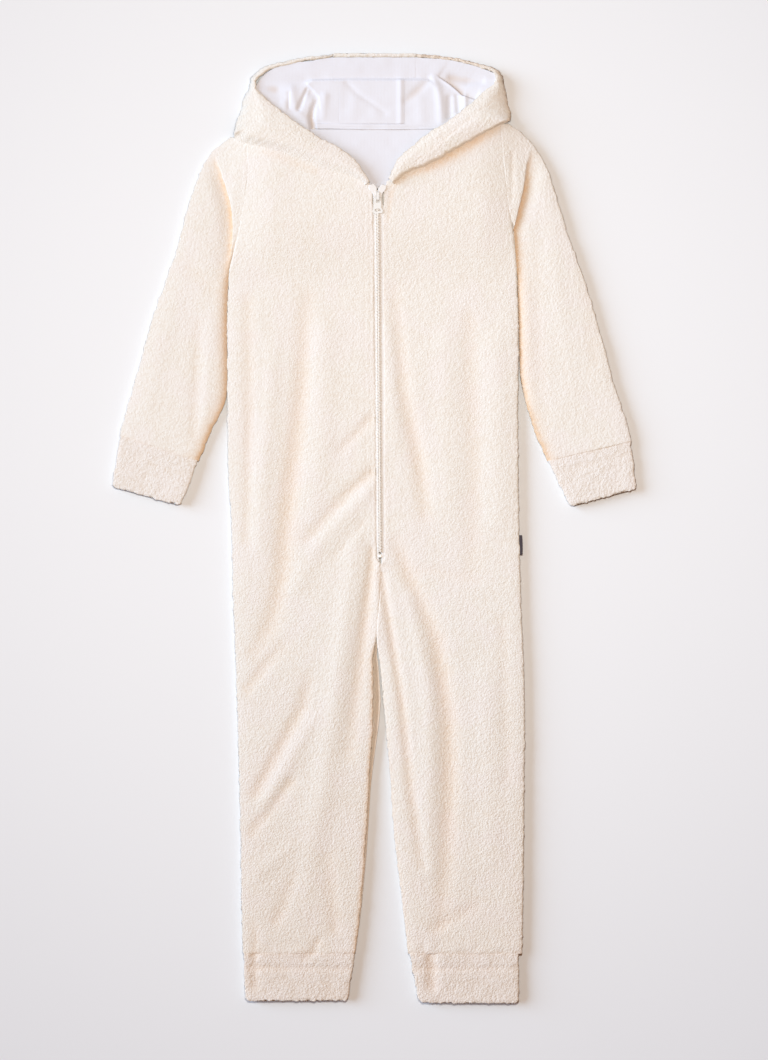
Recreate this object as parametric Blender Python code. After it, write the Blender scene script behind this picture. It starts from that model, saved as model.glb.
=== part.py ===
"""Child's hooded zip onesie in teddy cloth, laid flat on its back.

Units in the tables are millimetres. X runs to the wearer's left, Y to the head, Z up from the surface.
"""
import math

import bmesh
import bpy
import numpy as np

MM = 0.001

# Cloth and seams
TEDDY = 3.0
JERSEY = 1.0
TAPE = 0.6
SEAM_GAP = 0.3
LAYER_GAP = 0.3

# The hood's hidden folds lie under the upper back and lift everything above them
POUCH_HEIGHT = 5.6
LIFT = 6.3
LIFT_CENTRE_X = 2.0
LIFT_FULL_HALF_WIDTH = 100.0
LIFT_FADE_X = 65.0
LIFT_FULL_Y = 313.0
LIFT_FADE_Y = 75.0

# How far the front stands clear of the back
FRONT_GAP_EDGE = 1.15
FRONT_GAP_MIDDLE = 3.2
FRONT_GAP_ZIP = 2.5
FRONT_GAP_LEAST = 1.0
EDGE_ROUNDING = 5.0
INNER_EDGE_HELD = 6.5
INNER_EDGE_FADE = 9.0
BACK_EDGE_RISE = 0.8
EDGE_COLUMNS = (0.0, 2.5, 7.0, 18.0)
FRONT_COLUMNS = 7
BACK_COLUMNS = 3
BACK_SEAM_X = 2.0

# Zip
ZIP_TOP_Y = 342.0
ZIP_TOP_X = 2.6
ZIP_BOTTOM_Y = -29.5
ZIP_BOTTOM_X = 5.2
ZIP_TAPE_NEAR = 1.7
ZIP_TAPE_WIDTH = 12.0
ZIP_TAPE_END_Y = -36.0
ZIP_TAPE_Z = 4.6
COIL_HALF_WIDTH = 2.3
COIL_Z = 5.5
COIL_THICKNESS = 1.4
COIL_TOP_Y = 323.5
STOP_LENGTH = 3.6

# Slider and pull tab, with Z above the back panel's underside
SLIDER_TOP_Y = 336.8
SLIDER_END_Y = 324.0
SLIDER_WIDTH = 8.6
SLIDER_NOSE_WIDTH = 7.0
SLIDER_PLATE_Z = (7.2, 8.5)
SLIDER_SOLE_Z = (3.4, 4.2)
SLIDER_POST_WIDTH = 2.6
SLIDER_POST_LENGTH = 2.0
BRIDGE_WIDTH = 2.6
BRIDGE_BAR = 1.2
BRIDGE_Y = (325.5, 335.0)
PIVOT_Y = 328.6
ROD_RADIUS = 0.6
ROD_CLEARANCE = 0.3
TAB_THICKNESS = 1.0
TAB_WAIST = 7.0
TAB_FLARE = 10.4
TAB_LENGTH = 15.6
TAB_EYE_WIDTH = 3.6
TAB_EYE_END = 4.9
TAB_HOLE_WIDTH = 6.4
TAB_HOLE_LENGTH = 3.2

# Sleeves and cuffs
SLEEVE_HEIGHT = 9.0
CUFF_HEIGHT = 8.6
SLEEVE_FOLD_SOFTNESS = 7.0

# Each half of the body: side or armhole edge, front edge at zip, crotch and inseam, and the back's height
# outer_x, outer_y, front_x, front_y, back_y
RIGHT_HALF = [
    (-129.0, 394.0, -2.4, 343.0, 401.0),
    (-127.5, 376.0, -2.4, 332.0, 380.0),
    (-127.5, 357.0, -2.3, 318.0, 360.0),
    (-129.5, 336.0, -2.1, 303.0, 340.0),
    (-133.0, 314.0, -1.8, 288.0, 318.0),
    (-137.0, 292.0, -1.4, 272.0, 296.0),
    (-141.0, 274.0, -1.2, 256.0, 277.0),
    (-145.0, 256.0, -1.1, 240.0, 258.0),
    (-147.3, 232.0, -1.0, 220.0, 232.0),
    (-148.0, 200.0, -0.8, 194.0, 200.0),
    (-148.0, 151.0, -0.4, 150.0, 151.0),
    (-147.6, 100.0, -0.1, 100.0, 100.0),
    (-146.6, 45.0, 0.3, 45.0, 45.0),
    (-144.0, 12.0, 0.6, 12.0, 12.0),
    (-143.0, -30.0, 0.9, -29.5, -29.5),
    (-142.8, -38.0, 5.5, -37.0, -37.5),
    (-142.0, -72.0, 4.2, -72.0, -72.0),
    (-140.6, -107.0, 1.4, -107.0, -107.0),
    (-139.6, -130.0, -1.8, -130.0, -130.0),
    (-138.0, -180.0, -3.0, -180.0, -180.0),
    (-136.2, -240.0, -7.0, -240.0, -240.0),
    (-134.6, -307.0, -10.5, -307.0, -307.0),
    (-133.3, -373.0, -15.6, -373.0, -373.0),
    (-132.0, -424.0, -21.0, -424.0, -424.0),
]
LEFT_HALF = [
    (126.0, 400.0, 8.9, 344.0, 401.0),
    (127.5, 379.0, 8.8, 332.0, 380.0),
    (129.5, 357.0, 8.7, 318.0, 360.0),
    (131.5, 336.0, 8.6, 303.0, 340.0),
    (134.5, 314.0, 8.5, 288.0, 318.0),
    (137.5, 294.0, 8.5, 272.0, 296.0),
    (139.5, 276.0, 8.5, 256.0, 277.0),
    (141.0, 257.0, 8.6, 240.0, 258.0),
    (142.6, 232.0, 8.7, 220.0, 232.0),
    (143.6, 190.0, 8.9, 188.0, 190.0),
    (143.4, 150.0, 9.2, 150.0, 150.0),
    (142.8, 110.0, 9.5, 110.0, 110.0),
    (143.2, 50.0, 9.8, 50.0, 50.0),
    (144.0, -9.0, 9.9, -9.0, -9.0),
    (144.8, -30.0, 10.0, -29.5, -29.5),
    (145.0, -38.0, 5.8, -37.0, -37.5),
    (146.0, -78.0, 4.5, -72.0, -74.0),
    (147.6, -112.0, 1.7, -107.0, -109.0),
    (148.8, -140.0, 5.0, -137.0, -138.0),
    (149.7, -190.0, 10.0, -190.0, -190.0),
    (149.3, -240.0, 13.6, -240.0, -240.0),
    (148.8, -307.0, 18.4, -307.0, -307.0),
    (148.0, -365.0, 25.2, -365.0, -365.0),
    (147.0, -424.0, 33.0, -424.0, -424.0),
]
CROTCH_ROW = 17
ZIP_END_ROW = 14

# Largest folds of the front: start, end, height (a trough is negative) and half width
# start_x, start_y, end_x, end_y, height, half_width
FRONT_FOLDS = [
    (-78.0, 228.0, -90.0, 58.0, -2.0, 15.0),
    (-90.0, 58.0, -113.0, -112.0, -1.6, 16.0),
    (-107.0, 150.0, -105.0, 28.0, 1.8, 16.0),
    (-52.0, 200.0, -50.0, 98.0, 1.5, 20.0),
    (-10.0, 48.0, -75.0, -40.0, 1.2, 18.0),
    (-12.0, -112.0, -37.0, -272.0, -1.4, 14.0),
    (-45.0, -72.0, -75.0, -300.0, 1.6, 20.0),
    (-125.0, -262.0, -65.0, -212.0, 1.4, 18.0),
    (21.0, 151.0, 41.0, 42.0, -1.5, 16.0),
    (41.0, 42.0, 50.0, -62.0, -1.3, 16.0),
    (65.0, -112.0, 78.0, -340.0, -1.6, 18.0),
    (122.0, 188.0, 124.0, 8.0, 1.6, 16.0),
    (9.0, -72.0, 37.0, -332.0, -1.2, 14.0),
]

# Sleeves: armhole or underarm edge, outer fold, step at the sleeve head, its place, and the closed underarm
# inner_x, inner_y, outer_x, outer_y, step, fold_at, closed
RIGHT_SLEEVE = [
    (-130.2, 386.0, -146.0, 388.0, 0.0, 0.90, 0.0),
    (-128.9, 374.0, -163.0, 376.0, 0.6, 0.85, 0.0),
    (-128.9, 357.0, -171.0, 364.0, 2.4, 0.70, 0.0),
    (-131.0, 335.0, -178.5, 347.0, 3.2, 0.42, 0.0),
    (-135.5, 308.0, -185.0, 328.0, 3.2, 0.18, 0.0),
    (-142.0, 277.0, -192.0, 304.0, 2.0, 0.08, 0.4),
    (-147.2, 255.0, -198.0, 280.0, 0.6, 0.05, 0.9),
    (-149.4, 226.0, -209.0, 249.0, 0.0, 0.05, 1.0),
    (-149.9, 190.0, -222.0, 212.0, 0.0, 0.05, 1.0),
    (-149.6, 158.0, -233.0, 173.0, 0.0, 0.05, 1.0),
    (-149.4, 134.0, -241.0, 144.0, 0.0, 0.05, 1.0),
    (-163.0, 98.0, -248.5, 118.0, 0.0, 0.05, 1.0),
    (-175.6, 68.0, -255.5, 94.0, 0.0, 0.05, 1.0),
]
LEFT_SLEEVE = [
    (126.8, 399.4, 134.0, 401.4, 0.0, 0.90, 0.0),
    (127.8, 391.0, 144.3, 396.3, 0.0, 0.90, 0.0),
    (129.0, 378.0, 158.0, 383.0, 0.6, 0.85, 0.0),
    (131.2, 356.0, 171.0, 363.0, 2.4, 0.60, 0.0),
    (133.6, 335.0, 177.5, 344.0, 3.2, 0.40, 0.0),
    (137.0, 313.0, 184.0, 323.0, 3.2, 0.16, 0.0),
    (141.0, 290.0, 192.0, 296.0, 2.0, 0.08, 0.4),
    (143.2, 266.0, 201.5, 270.0, 0.6, 0.05, 0.9),
    (145.2, 228.0, 215.0, 231.0, 0.0, 0.05, 1.0),
    (146.2, 193.0, 225.0, 196.0, 0.0, 0.05, 1.0),
    (147.0, 158.0, 234.5, 160.0, 0.0, 0.05, 1.0),
    (150.0, 133.0, 243.0, 131.0, 0.0, 0.05, 1.0),
    (159.0, 98.0, 252.5, 103.0, 0.0, 0.05, 1.0),
    (171.6, 68.0, 256.0, 88.0, 0.0, 0.05, 1.0),
]

# Cuffs: inner and outer edge, from the seam to the hem
# inner_x, inner_y, outer_x, outer_y
RIGHT_SLEEVE_CUFF = [
    (-177.2, 66.6, -254.8, 91.6),
    (-186.0, 42.0, -259.5, 64.0),
    (-194.5, 22.5, -263.0, 41.5),
]
LEFT_SLEEVE_CUFF = [
    (173.0, 66.4, 255.6, 85.8),
    (184.0, 44.0, 258.5, 62.0),
    (195.0, 21.5, 261.8, 39.5),
]
RIGHT_LEG_CUFF = [
    (-23.5, -426.0, -129.0, -426.0),
    (-25.0, -448.0, -128.6, -448.0),
    (-28.5, -472.0, -128.2, -472.5),
]
LEFT_LEG_CUFF = [
    (34.5, -426.0, 143.5, -426.0),
    (38.5, -448.0, 143.7, -448.0),
    (43.5, -474.0, 143.5, -475.0),
]

# Hood side panels: face edge, outer fold, underside height at both, and the crown between them
# face_x, face_y, outer_x, outer_y, face_z, outer_z, crown
HOOD_RIGHT = [
    (-41.8, 470.2, -41.8, 473.9, 6.4, 6.4, 0.0),
    (-76.0, 464.4, -78.0, 468.9, 6.4, 6.2, 0.0),
    (-101.0, 458.4, -104.2, 463.0, 6.6, 4.6, 0.2),
    (-112.0, 451.6, -118.0, 457.0, 8.0, 2.4, 0.5),
    (-118.0, 446.0, -125.2, 448.5, 9.6, 1.0, 1.0),
    (-118.2, 439.0, -126.6, 438.5, 11.0, 0.6, 1.4),
    (-114.5, 434.0, -131.5, 433.0, 11.8, 0.6, 2.0),
    (-110.0, 430.0, -134.6, 419.0, 12.6, 0.6, 2.4),
    (-97.0, 418.5, -139.5, 404.0, 14.2, 5.0, 3.0),
    (-89.0, 411.9, -140.5, 391.0, 15.2, 14.0, 2.4),
    (-84.0, 408.0, -136.0, 384.5, 15.8, 16.2, 2.4),
    (-72.0, 399.5, -113.0, 378.0, 16.2, 16.2, 2.4),
    (-55.0, 388.5, -79.0, 365.5, 16.4, 16.3, 2.2),
    (-35.0, 378.0, -49.0, 354.0, 16.6, 16.2, 1.8),
    (-18.5, 365.0, -25.0, 348.5, 16.5, 16.1, 1.2),
    (-5.0, 344.5, -9.5, 342.0, 16.1, 16.1, 0.3),
]
HOOD_LEFT = [
    (41.2, 470.2, 41.2, 473.6, 6.4, 6.4, 0.0),
    (75.0, 466.6, 76.0, 470.0, 6.4, 6.2, 0.0),
    (103.0, 459.6, 106.0, 463.4, 6.6, 4.6, 0.2),
    (118.0, 453.8, 124.0, 457.6, 8.0, 2.4, 0.5),
    (120.0, 447.5, 128.6, 450.0, 9.6, 1.0, 1.0),
    (118.5, 443.4, 130.4, 440.0, 10.4, 0.6, 1.5),
    (109.0, 435.5, 133.4, 426.0, 11.6, 0.6, 2.0),
    (97.0, 424.9, 136.0, 413.0, 13.2, 3.0, 3.0),
    (89.0, 418.0, 134.5, 406.5, 14.4, 11.0, 3.0),
    (83.0, 413.3, 129.0, 403.6, 15.2, 15.9, 2.6),
    (71.0, 404.0, 107.0, 391.5, 16.0, 16.2, 2.6),
    (55.0, 394.5, 80.0, 376.0, 16.4, 16.3, 2.4),
    (37.0, 380.0, 55.0, 362.0, 16.6, 16.3, 2.0),
    (20.5, 364.0, 33.0, 353.5, 16.6, 16.2, 1.4),
    (13.2, 347.5, 19.0, 342.5, 16.1, 16.1, 0.4),
]
HOOD_COLUMNS = 7
HOOD_HEM_ROWS = 4
HOOD_HEM_HEIGHT = 5.6

# Hood middle panel: its rows and their thickness, with the doubled hem at the top
# y, thickness
HOOD_CENTRE_ROWS = [
    (473.9, 4.0),
    (473.0, 5.6),
    (470.5, 5.6),
    (469.9, 3.0),
    (450.0, 3.0),
    (430.0, 3.0),
    (412.0, 3.0),
]

# Hood lining: upper edge, lower edge under the hood's face edge, across each side
# top_x, top_y, low_x, low_y
LINING_RIGHT = [
    (-115.5, 447.0, -117.4, 441.0),
    (-107.5, 453.4, -115.5, 430.5),
    (-97.0, 459.0, -107.0, 420.5),
    (-84.0, 462.0, -97.0, 411.5),
    (-74.0, 464.2, -88.0, 404.0),
    (-66.0, 465.6, -79.0, 401.6),
    (-58.0, 467.0, -68.0, 401.6),
    (-50.0, 468.4, -60.5, 404.0),
    (-42.0, 469.6, -36.0, 403.6),
]
LINING_LEFT = [
    (116.6, 450.6, 117.6, 445.4),
    (107.0, 457.4, 114.5, 433.5),
    (95.0, 460.9, 104.5, 423.5),
    (84.0, 463.9, 94.5, 415.0),
    (73.0, 466.4, 84.5, 406.5),
    (64.0, 467.3, 75.0, 401.6),
    (55.0, 468.3, 66.6, 403.8),
    (41.4, 469.6, 29.0, 403.6),
]
LINING_CENTRE_Y = (469.6, 457.0, 449.0, 447.0, 445.0, 436.0, 426.0, 415.0, 403.6)
LINING_STEPS = 9
LINING_LEVEL = 9.6
LINING_CREASE_Y = 448.5
LINING_CREASE_RISE = 2.6
LINING_CREASE_SOFTNESS = 3.0
LINING_NECK_Y = 403.6
LINING_NECK_Z = 10.9

# Hollows and bunched folds of the lining: centre, reach along x and y, and height
# centre_x, centre_y, reach_x, reach_y, height
LINING_FOLDS = [
    (-116.0, 438.0, 10.0, 12.0, -2.6),
    (116.0, 441.0, 12.0, 10.0, -3.8),
    (-101.0, 437.0, 12.0, 9.0, -2.6),
    (-72.0, 414.0, 8.0, 22.0, 2.2),
    (-55.0, 405.0, 7.0, 18.0, -4.6),
    (86.0, 445.0, 16.0, 8.0, -2.8),
    (66.0, 424.0, 7.0, 20.0, 1.8),
    (77.0, 424.0, 5.0, 16.0, -1.6),
]

# Hidden folds of the hood, as half widths from the head to the back, and their share of the full height
# y, half_width, share
POUCH_ROWS = [
    (468.0, 58.0, 0.6),
    (462.0, 84.0, 0.92),
    (448.0, 106.0, 1.0),
    (425.0, 116.0, 1.0),
    (390.0, 116.0, 1.0),
    (350.0, 110.0, 1.0),
    (330.0, 98.0, 0.9),
    (321.0, 82.0, 0.45),
]
POUCH_ACROSS = (-1.0, -0.95, -0.85, -0.5, 0.0, 0.5, 0.85, 0.95, 1.0)
POUCH_RIM = (0.35, 0.75, 1.0, 1.0, 1.0, 1.0, 1.0, 0.75, 0.35)

# Facing inside the back neck, as half widths
# y, half_width
FACING_ROWS = [
    (398.0, 74.0),
    (388.0, 73.0),
    (372.0, 64.0),
    (356.0, 50.0),
    (342.0, 32.0),
    (338.6, 26.0),
]
FACING_COLUMNS = 7

NECK_TAPE_Y = (398.4, 403.2)
NECK_TAPE_X = (-59.0, 66.0)
NECK_TAPE_Z = (9.7, 11.8)

LABEL_X = (145.1, 148.6)
LABEL_Y = (-27.4, -6.8)
LABEL_THICKNESS = 1.2

TEDDY_COLOUR = (0.86, 0.78, 0.67, 1.0)
JERSEY_COLOUR = (0.86, 0.85, 0.87, 1.0)
ZIP_COLOUR = (0.84, 0.82, 0.80, 1.0)
LABEL_COLOUR = (0.02, 0.025, 0.06, 1.0)


def clear_scene():
    for thing in list(bpy.data.objects):
        bpy.data.objects.remove(thing, do_unlink=True)


def material(name, colour, roughness, metallic=0.0):
    made = bpy.data.materials.new(name)
    made.use_nodes = True
    shader = made.node_tree.nodes["Principled BSDF"]
    shader.inputs["Base Color"].default_value = colour
    shader.inputs["Roughness"].default_value = roughness
    shader.inputs["Metallic"].default_value = metallic
    return made


def smooth_step(t):
    t = np.clip(t, 0.0, 1.0)
    return t * t * (3.0 - 2.0 * t)


def lift(x, y):
    """Height that the hood's hidden folds add under a point."""
    across = smooth_step((np.abs(x - LIFT_CENTRE_X) - LIFT_FULL_HALF_WIDTH) / LIFT_FADE_X)
    along = smooth_step((LIFT_FULL_Y - y) / LIFT_FADE_Y)
    return LIFT * (1.0 - across) * (1.0 - along)


def fold_height(x, y, folds):
    """Sum of soft troughs and ridges, each fading with the distance from its line."""
    total = np.zeros_like(x)
    for start_x, start_y, end_x, end_y, height, half_width in folds:
        run_x, run_y = end_x - start_x, end_y - start_y
        along = ((x - start_x) * run_x + (y - start_y) * run_y) / (run_x ** 2 + run_y ** 2)
        along = np.clip(along, 0.0, 1.0)
        apart = np.hypot(x - start_x - along * run_x, y - start_y - along * run_y)
        total += height * np.exp(-((apart / half_width) ** 2))
    return total


def add_object(name, points, faces, look):
    mesh = bpy.data.meshes.new(name)
    mesh.from_pydata([tuple(p) for p in np.asarray(points) * MM], [], faces)
    shape = bmesh.new()
    shape.from_mesh(mesh)
    bmesh.ops.recalc_face_normals(shape, faces=shape.faces[:])
    shape.to_mesh(mesh)
    shape.free()
    mesh.materials.append(look)
    made = bpy.data.objects.new(name, mesh)
    bpy.context.collection.objects.link(made)
    return made


def wall(name, under, over, look):
    """A closed sheet between two grids of points that share their rows and columns."""
    rows, columns = under.shape[:2]
    count = rows * columns
    index = np.arange(count).reshape(rows, columns)
    faces = []
    for i in range(rows - 1):
        for j in range(columns - 1):
            a, b, c, d = index[i, j], index[i, j + 1], index[i + 1, j + 1], index[i + 1, j]
            faces += [(a, b, c), (a, c, d)]
            faces += [(a + count, c + count, b + count), (a + count, d + count, c + count)]
    rim = list(index[0]) + list(index[1:, -1]) + list(index[-1, -2::-1]) + list(index[-2:0:-1, 0])
    for here, there in zip(rim, rim[1:] + rim[:1]):
        faces += [(here, here + count, there + count), (here, there + count, there)]
    points = np.concatenate([under.reshape(-1, 3), over.reshape(-1, 3)])
    faces = [tuple(int(k) for k in face) for face in faces]
    return add_object(name, points, faces, look)


def raised(grid, thickness):
    over = grid.copy()
    over[..., 2] += thickness
    return over


def tube(name, outer, inner, look):
    """A hollow sleeve between two stacks of rings, open at both ends."""
    rings, around = outer.shape[:2]
    count = rings * around
    faces = []
    for i in range(rings - 1):
        for j in range(around):
            k = (j + 1) % around
            a, b = i * around + j, i * around + k
            c, d = a + around, b + around
            faces += [(a, b, d), (a, d, c)]
            faces += [(a + count, d + count, b + count), (a + count, c + count, d + count)]
    for i in (0, rings - 1):
        for j in range(around):
            k = (j + 1) % around
            a, b = i * around + j, i * around + k
            faces += [(a, b, b + count), (a, b + count, a + count)]
    points = np.concatenate([outer.reshape(-1, 3), inner.reshape(-1, 3)])
    return add_object(name, points, faces, look)


def columns_across(width, spread):
    """Distances from the side edge: close together at the rounded edge, then even, then close again."""
    inner = np.linspace(EDGE_COLUMNS[-1], width - EDGE_COLUMNS[2], spread)[1:]
    last = np.array([width - EDGE_COLUMNS[1], width])
    return np.concatenate([EDGE_COLUMNS, inner, last])


def body_grid(half, inner_points, spread):
    """Points of one half of the body, with their distances from both edges."""
    outer = np.array([(row[0], row[1]) for row in half])
    inner = np.array(inner_points)
    rows = []
    from_side = []
    from_inner = []
    for a, b in zip(outer, inner):
        width = float(np.hypot(*(b - a)))
        marks = columns_across(width, spread)
        rows.append(a + (b - a) * (marks / width)[:, None])
        from_side.append(marks)
        from_inner.append(width - marks)
    return np.array(rows), np.array(from_side), np.array(from_inner)


def front_panel(name, half, look):
    inner = [(row[2], row[3]) for row in half]
    flat, from_side, from_inner = body_grid(half, inner, FRONT_COLUMNS)
    x, y = flat[..., 0], flat[..., 1]
    swell = FRONT_GAP_MIDDLE + fold_height(x, y, FRONT_FOLDS)
    side = 1.0 - np.exp(-from_side / EDGE_ROUNDING)
    gap = FRONT_GAP_EDGE + (swell - FRONT_GAP_EDGE) * side
    seam_gap = np.full(len(half), FRONT_GAP_EDGE)
    seam_gap[: ZIP_END_ROW + 2] = FRONT_GAP_ZIP
    near = 1.0 - smooth_step((from_inner - INNER_EDGE_HELD) / INNER_EDGE_FADE)
    gap = gap + (seam_gap[:, None] - gap) * near
    gap = np.maximum(gap, FRONT_GAP_LEAST)
    under = np.dstack([x, y, lift(x, y) + TEDDY + gap])
    return wall(name, under, raised(under, TEDDY), look)


def back_panel(name, half, side, look):
    inner = []
    for k, row in enumerate(half):
        above_crotch = k <= CROTCH_ROW
        seam_x = BACK_SEAM_X + side * SEAM_GAP / 2.0 if above_crotch else row[2]
        inner.append((seam_x, row[4]))
    inner[CROTCH_ROW] = (half[CROTCH_ROW][2], half[CROTCH_ROW][4])
    flat, from_side, _ = body_grid(half, inner, BACK_COLUMNS)
    x, y = flat[..., 0], flat[..., 1]
    edge = BACK_EDGE_RISE * np.clip(1.0 - from_side / EDGE_COLUMNS[1], 0.0, 1.0)
    under = np.dstack([x, y, lift(x, y) + edge])
    return wall(name, under, raised(under, TEDDY), look)


def sleeve(name, table, look):
    """One piece folded round the arm: over the top, round the outer fold and back underneath."""
    half_wall = TEDDY / 2.0
    low = half_wall
    high = SLEEVE_HEIGHT - half_wall
    bend = (high - low) / 2.0
    inside = []
    outside = []
    for inner_x, inner_y, outer_x, outer_y, step, fold_at, closed in table:
        width = math.hypot(outer_x - inner_x, outer_y - inner_y)
        straight = width - bend - half_wall
        s_top = straight * np.array([0.0, 0.06, 0.16, 0.3, 0.46, 0.62, 0.8, 1.0])
        fade = smooth_step((s_top - fold_at * width) / SLEEVE_FOLD_SOFTNESS + 0.5)
        z_top = high + step * (1.0 - fade)
        z_top -= closed * (high - low - TEDDY - SEAM_GAP) * np.exp(-s_top / 4.0)
        turn = np.radians([45.0, 90.0, 135.0])
        s_turn = straight + bend * np.sin(turn)
        z_turn = (high + low) / 2.0 + bend * np.cos(turn)
        s_low = straight * np.array([1.0, 0.6, 0.25, 0.0])
        z_low = np.full(4, low)
        s = np.concatenate([s_top, s_turn, s_low])
        z = np.concatenate([z_top, z_turn, z_low])
        ds = np.gradient(s)
        dz = np.gradient(z)
        size = np.hypot(ds, dz)
        normal_s, normal_z = -dz / size, ds / size
        normal_s[0], normal_z[0] = 0.0, 1.0
        normal_s[-1], normal_z[-1] = 0.0, -1.0
        along_x, along_y = (outer_x - inner_x) / width, (outer_y - inner_y) / width
        for stack, offset in ((outside, half_wall), (inside, -half_wall)):
            s_off = s + normal_s * offset
            z_off = z + normal_z * offset
            x = inner_x + along_x * s_off
            y = inner_y + along_y * s_off
            stack.append(np.column_stack([x, y, z_off + lift(x, y)]))
    return wall(name, np.array(inside), np.array(outside), look)


def stadium(width, height, inset, count):
    """A flat oval ring lying on the surface, as distances across and heights."""
    radius = height / 2.0 - inset
    reach = width / 2.0 - height / 2.0
    angle = np.linspace(0.0, 2.0 * np.pi, count, endpoint=False) + np.pi / count
    across = np.cos(angle) * radius + np.sign(np.cos(angle)) * reach
    level = np.clip(np.sin(angle) * radius * 1.35, -radius, radius)
    return across + width / 2.0, level + height / 2.0


def cuff(name, table, look):
    around = 16
    rings = {0.0: [], TEDDY: []}
    for inner_x, inner_y, outer_x, outer_y in table:
        width = math.hypot(outer_x - inner_x, outer_y - inner_y)
        along_x, along_y = (outer_x - inner_x) / width, (outer_y - inner_y) / width
        for inset, stack in rings.items():
            across, level = stadium(width, CUFF_HEIGHT, inset, around)
            stack.append(np.column_stack([inner_x + along_x * across, inner_y + along_y * across, level]))
    return tube(name, np.array(rings[0.0]), np.array(rings[TEDDY]), look)


def hood_side(name, table, look):
    """From the face edge over the crown of the roll to the outer fold; the hem is doubled along the top."""
    u = np.linspace(0.0, 1.0, HOOD_COLUMNS)
    rows = np.array(table)
    face, outer = rows[:, None, 0:2], rows[:, None, 2:4]
    flat = face + (outer - face) * u[None, :, None]
    level = rows[:, 4:5] + (rows[:, 5:6] - rows[:, 4:5]) * u ** 2
    level = level + rows[:, 6:7] * np.sin(np.pi * u)
    under = np.dstack([flat, level])
    thickness = np.full(level.shape, TEDDY)
    hem = 1.0 - smooth_step((np.arange(len(table)) - HOOD_HEM_ROWS + 2) / 3.0)
    thickness += (HOOD_HEM_HEIGHT - TEDDY) * hem[:, None] * np.sin(np.pi * (0.2 + 0.6 * u))
    over = under.copy()
    over[..., 2] += thickness
    return wall(name, under, over, look)


def hood_centre(name, look):
    """The middle panel: a strip under the lining, with the doubled hem standing along its front edge."""
    x = np.linspace(HOOD_RIGHT[0][0] + SEAM_GAP, HOOD_LEFT[0][0] - SEAM_GAP, 5)
    y, top = np.array(HOOD_CENTRE_ROWS).T
    grid_x, grid_y = np.meshgrid(x, y)
    under = np.dstack([grid_x, grid_y, np.full(grid_x.shape, LIFT)])
    over = under.copy()
    over[..., 2] += top[:, None]
    return wall(name, under, over, look)


def lining_level(x, y):
    """Underside of the lining: crown layer at the top, the pleat's upper layer below its crease."""
    rise = smooth_step((LINING_CREASE_Y - y) / LINING_CREASE_SOFTNESS)
    drop = np.clip((LINING_CREASE_Y - y) / (LINING_CREASE_Y - LINING_NECK_Y), 0.0, 1.0)
    level = LINING_LEVEL + rise * (LINING_CREASE_RISE * (1.0 - drop) + (LINING_NECK_Z - LINING_LEVEL) * drop)
    for centre_x, centre_y, reach_x, reach_y, height in LINING_FOLDS:
        level = level + height * np.exp(-((x - centre_x) / reach_x) ** 2 - ((y - centre_y) / reach_y) ** 2)
    return np.maximum(level, LIFT)


def hood_lining(name, table, look):
    table = np.array(table)
    marks = np.linspace(0.0, 1.0, LINING_STEPS)[:, None, None]
    top, low = table[None, :, 0:2], table[None, :, 2:4]
    flat = top + (low - top) * marks
    x, y = flat[..., 0], flat[..., 1]
    under = np.dstack([x, y, lining_level(x, y)])
    return wall(name, under, raised(under, JERSEY), look)


def hood_lining_centre(name, look):
    y = np.array(LINING_CENTRE_Y)
    fall = (y[0] - y) / (y[0] - y[-1])
    right = LINING_RIGHT[-1][0] + (LINING_RIGHT[-1][2] - LINING_RIGHT[-1][0]) * fall + SEAM_GAP
    left = LINING_LEFT[-1][0] + (LINING_LEFT[-1][2] - LINING_LEFT[-1][0]) * fall - SEAM_GAP
    u = np.linspace(0.0, 1.0, 5)
    x = right[:, None] + (left - right)[:, None] * u
    grid_y = np.repeat(y[:, None], 5, axis=1)
    under = np.dstack([x, grid_y, lining_level(x, grid_y)])
    return wall(name, under, raised(under, JERSEY), look)


def pouch(name, look):
    rows = np.array(POUCH_ROWS)
    across = np.array(POUCH_ACROSS)
    x = LIFT_CENTRE_X + rows[:, 1:2] * across
    y = np.repeat(rows[:, 0:1], len(across), axis=1)
    under = np.dstack([x, y, np.zeros(x.shape)])
    over = np.dstack([x, y, POUCH_HEIGHT * rows[:, 2:3] * np.array(POUCH_RIM)])
    return wall(name, under, over, look)


def facing(name, look):
    rows = np.array(FACING_ROWS)
    u = np.linspace(-1.0, 1.0, FACING_COLUMNS)
    x = LIFT_CENTRE_X + rows[:, 1:2] * u
    y = np.repeat(rows[:, 0:1], FACING_COLUMNS, axis=1)
    under = np.dstack([x, y, lift(x, y) + TEDDY + LAYER_GAP])
    return wall(name, under, raised(under, JERSEY), look)


def box_grid(x, y, z_low, z_high):
    grid_x, grid_y = np.meshgrid(np.array(x), np.array(y))
    under = np.dstack([grid_x, grid_y, np.full(grid_x.shape, z_low)])
    over = np.dstack([grid_x, grid_y, np.full(grid_x.shape, z_high)])
    return under, over


def block(name, x, y, z, look):
    under, over = box_grid(x, y, z[0], z[1])
    return wall(name, under, over, look)


def zip_centre(y):
    return ZIP_TOP_X + (ZIP_BOTTOM_X - ZIP_TOP_X) * (ZIP_TOP_Y - y) / (ZIP_TOP_Y - ZIP_BOTTOM_Y)


def zip_strip(name, side, y, near, far, z_low, thickness, look):
    """A strip beside the zip's centre line that follows the lift of the back under it."""
    centre = zip_centre(y)
    x = centre[:, None] + side * np.array([near, far])
    grid_y = np.repeat(y[:, None], 2, axis=1)
    under = np.dstack([x, grid_y, lift(x, grid_y) + z_low])
    return wall(name, under, raised(under, thickness), look)


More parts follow.
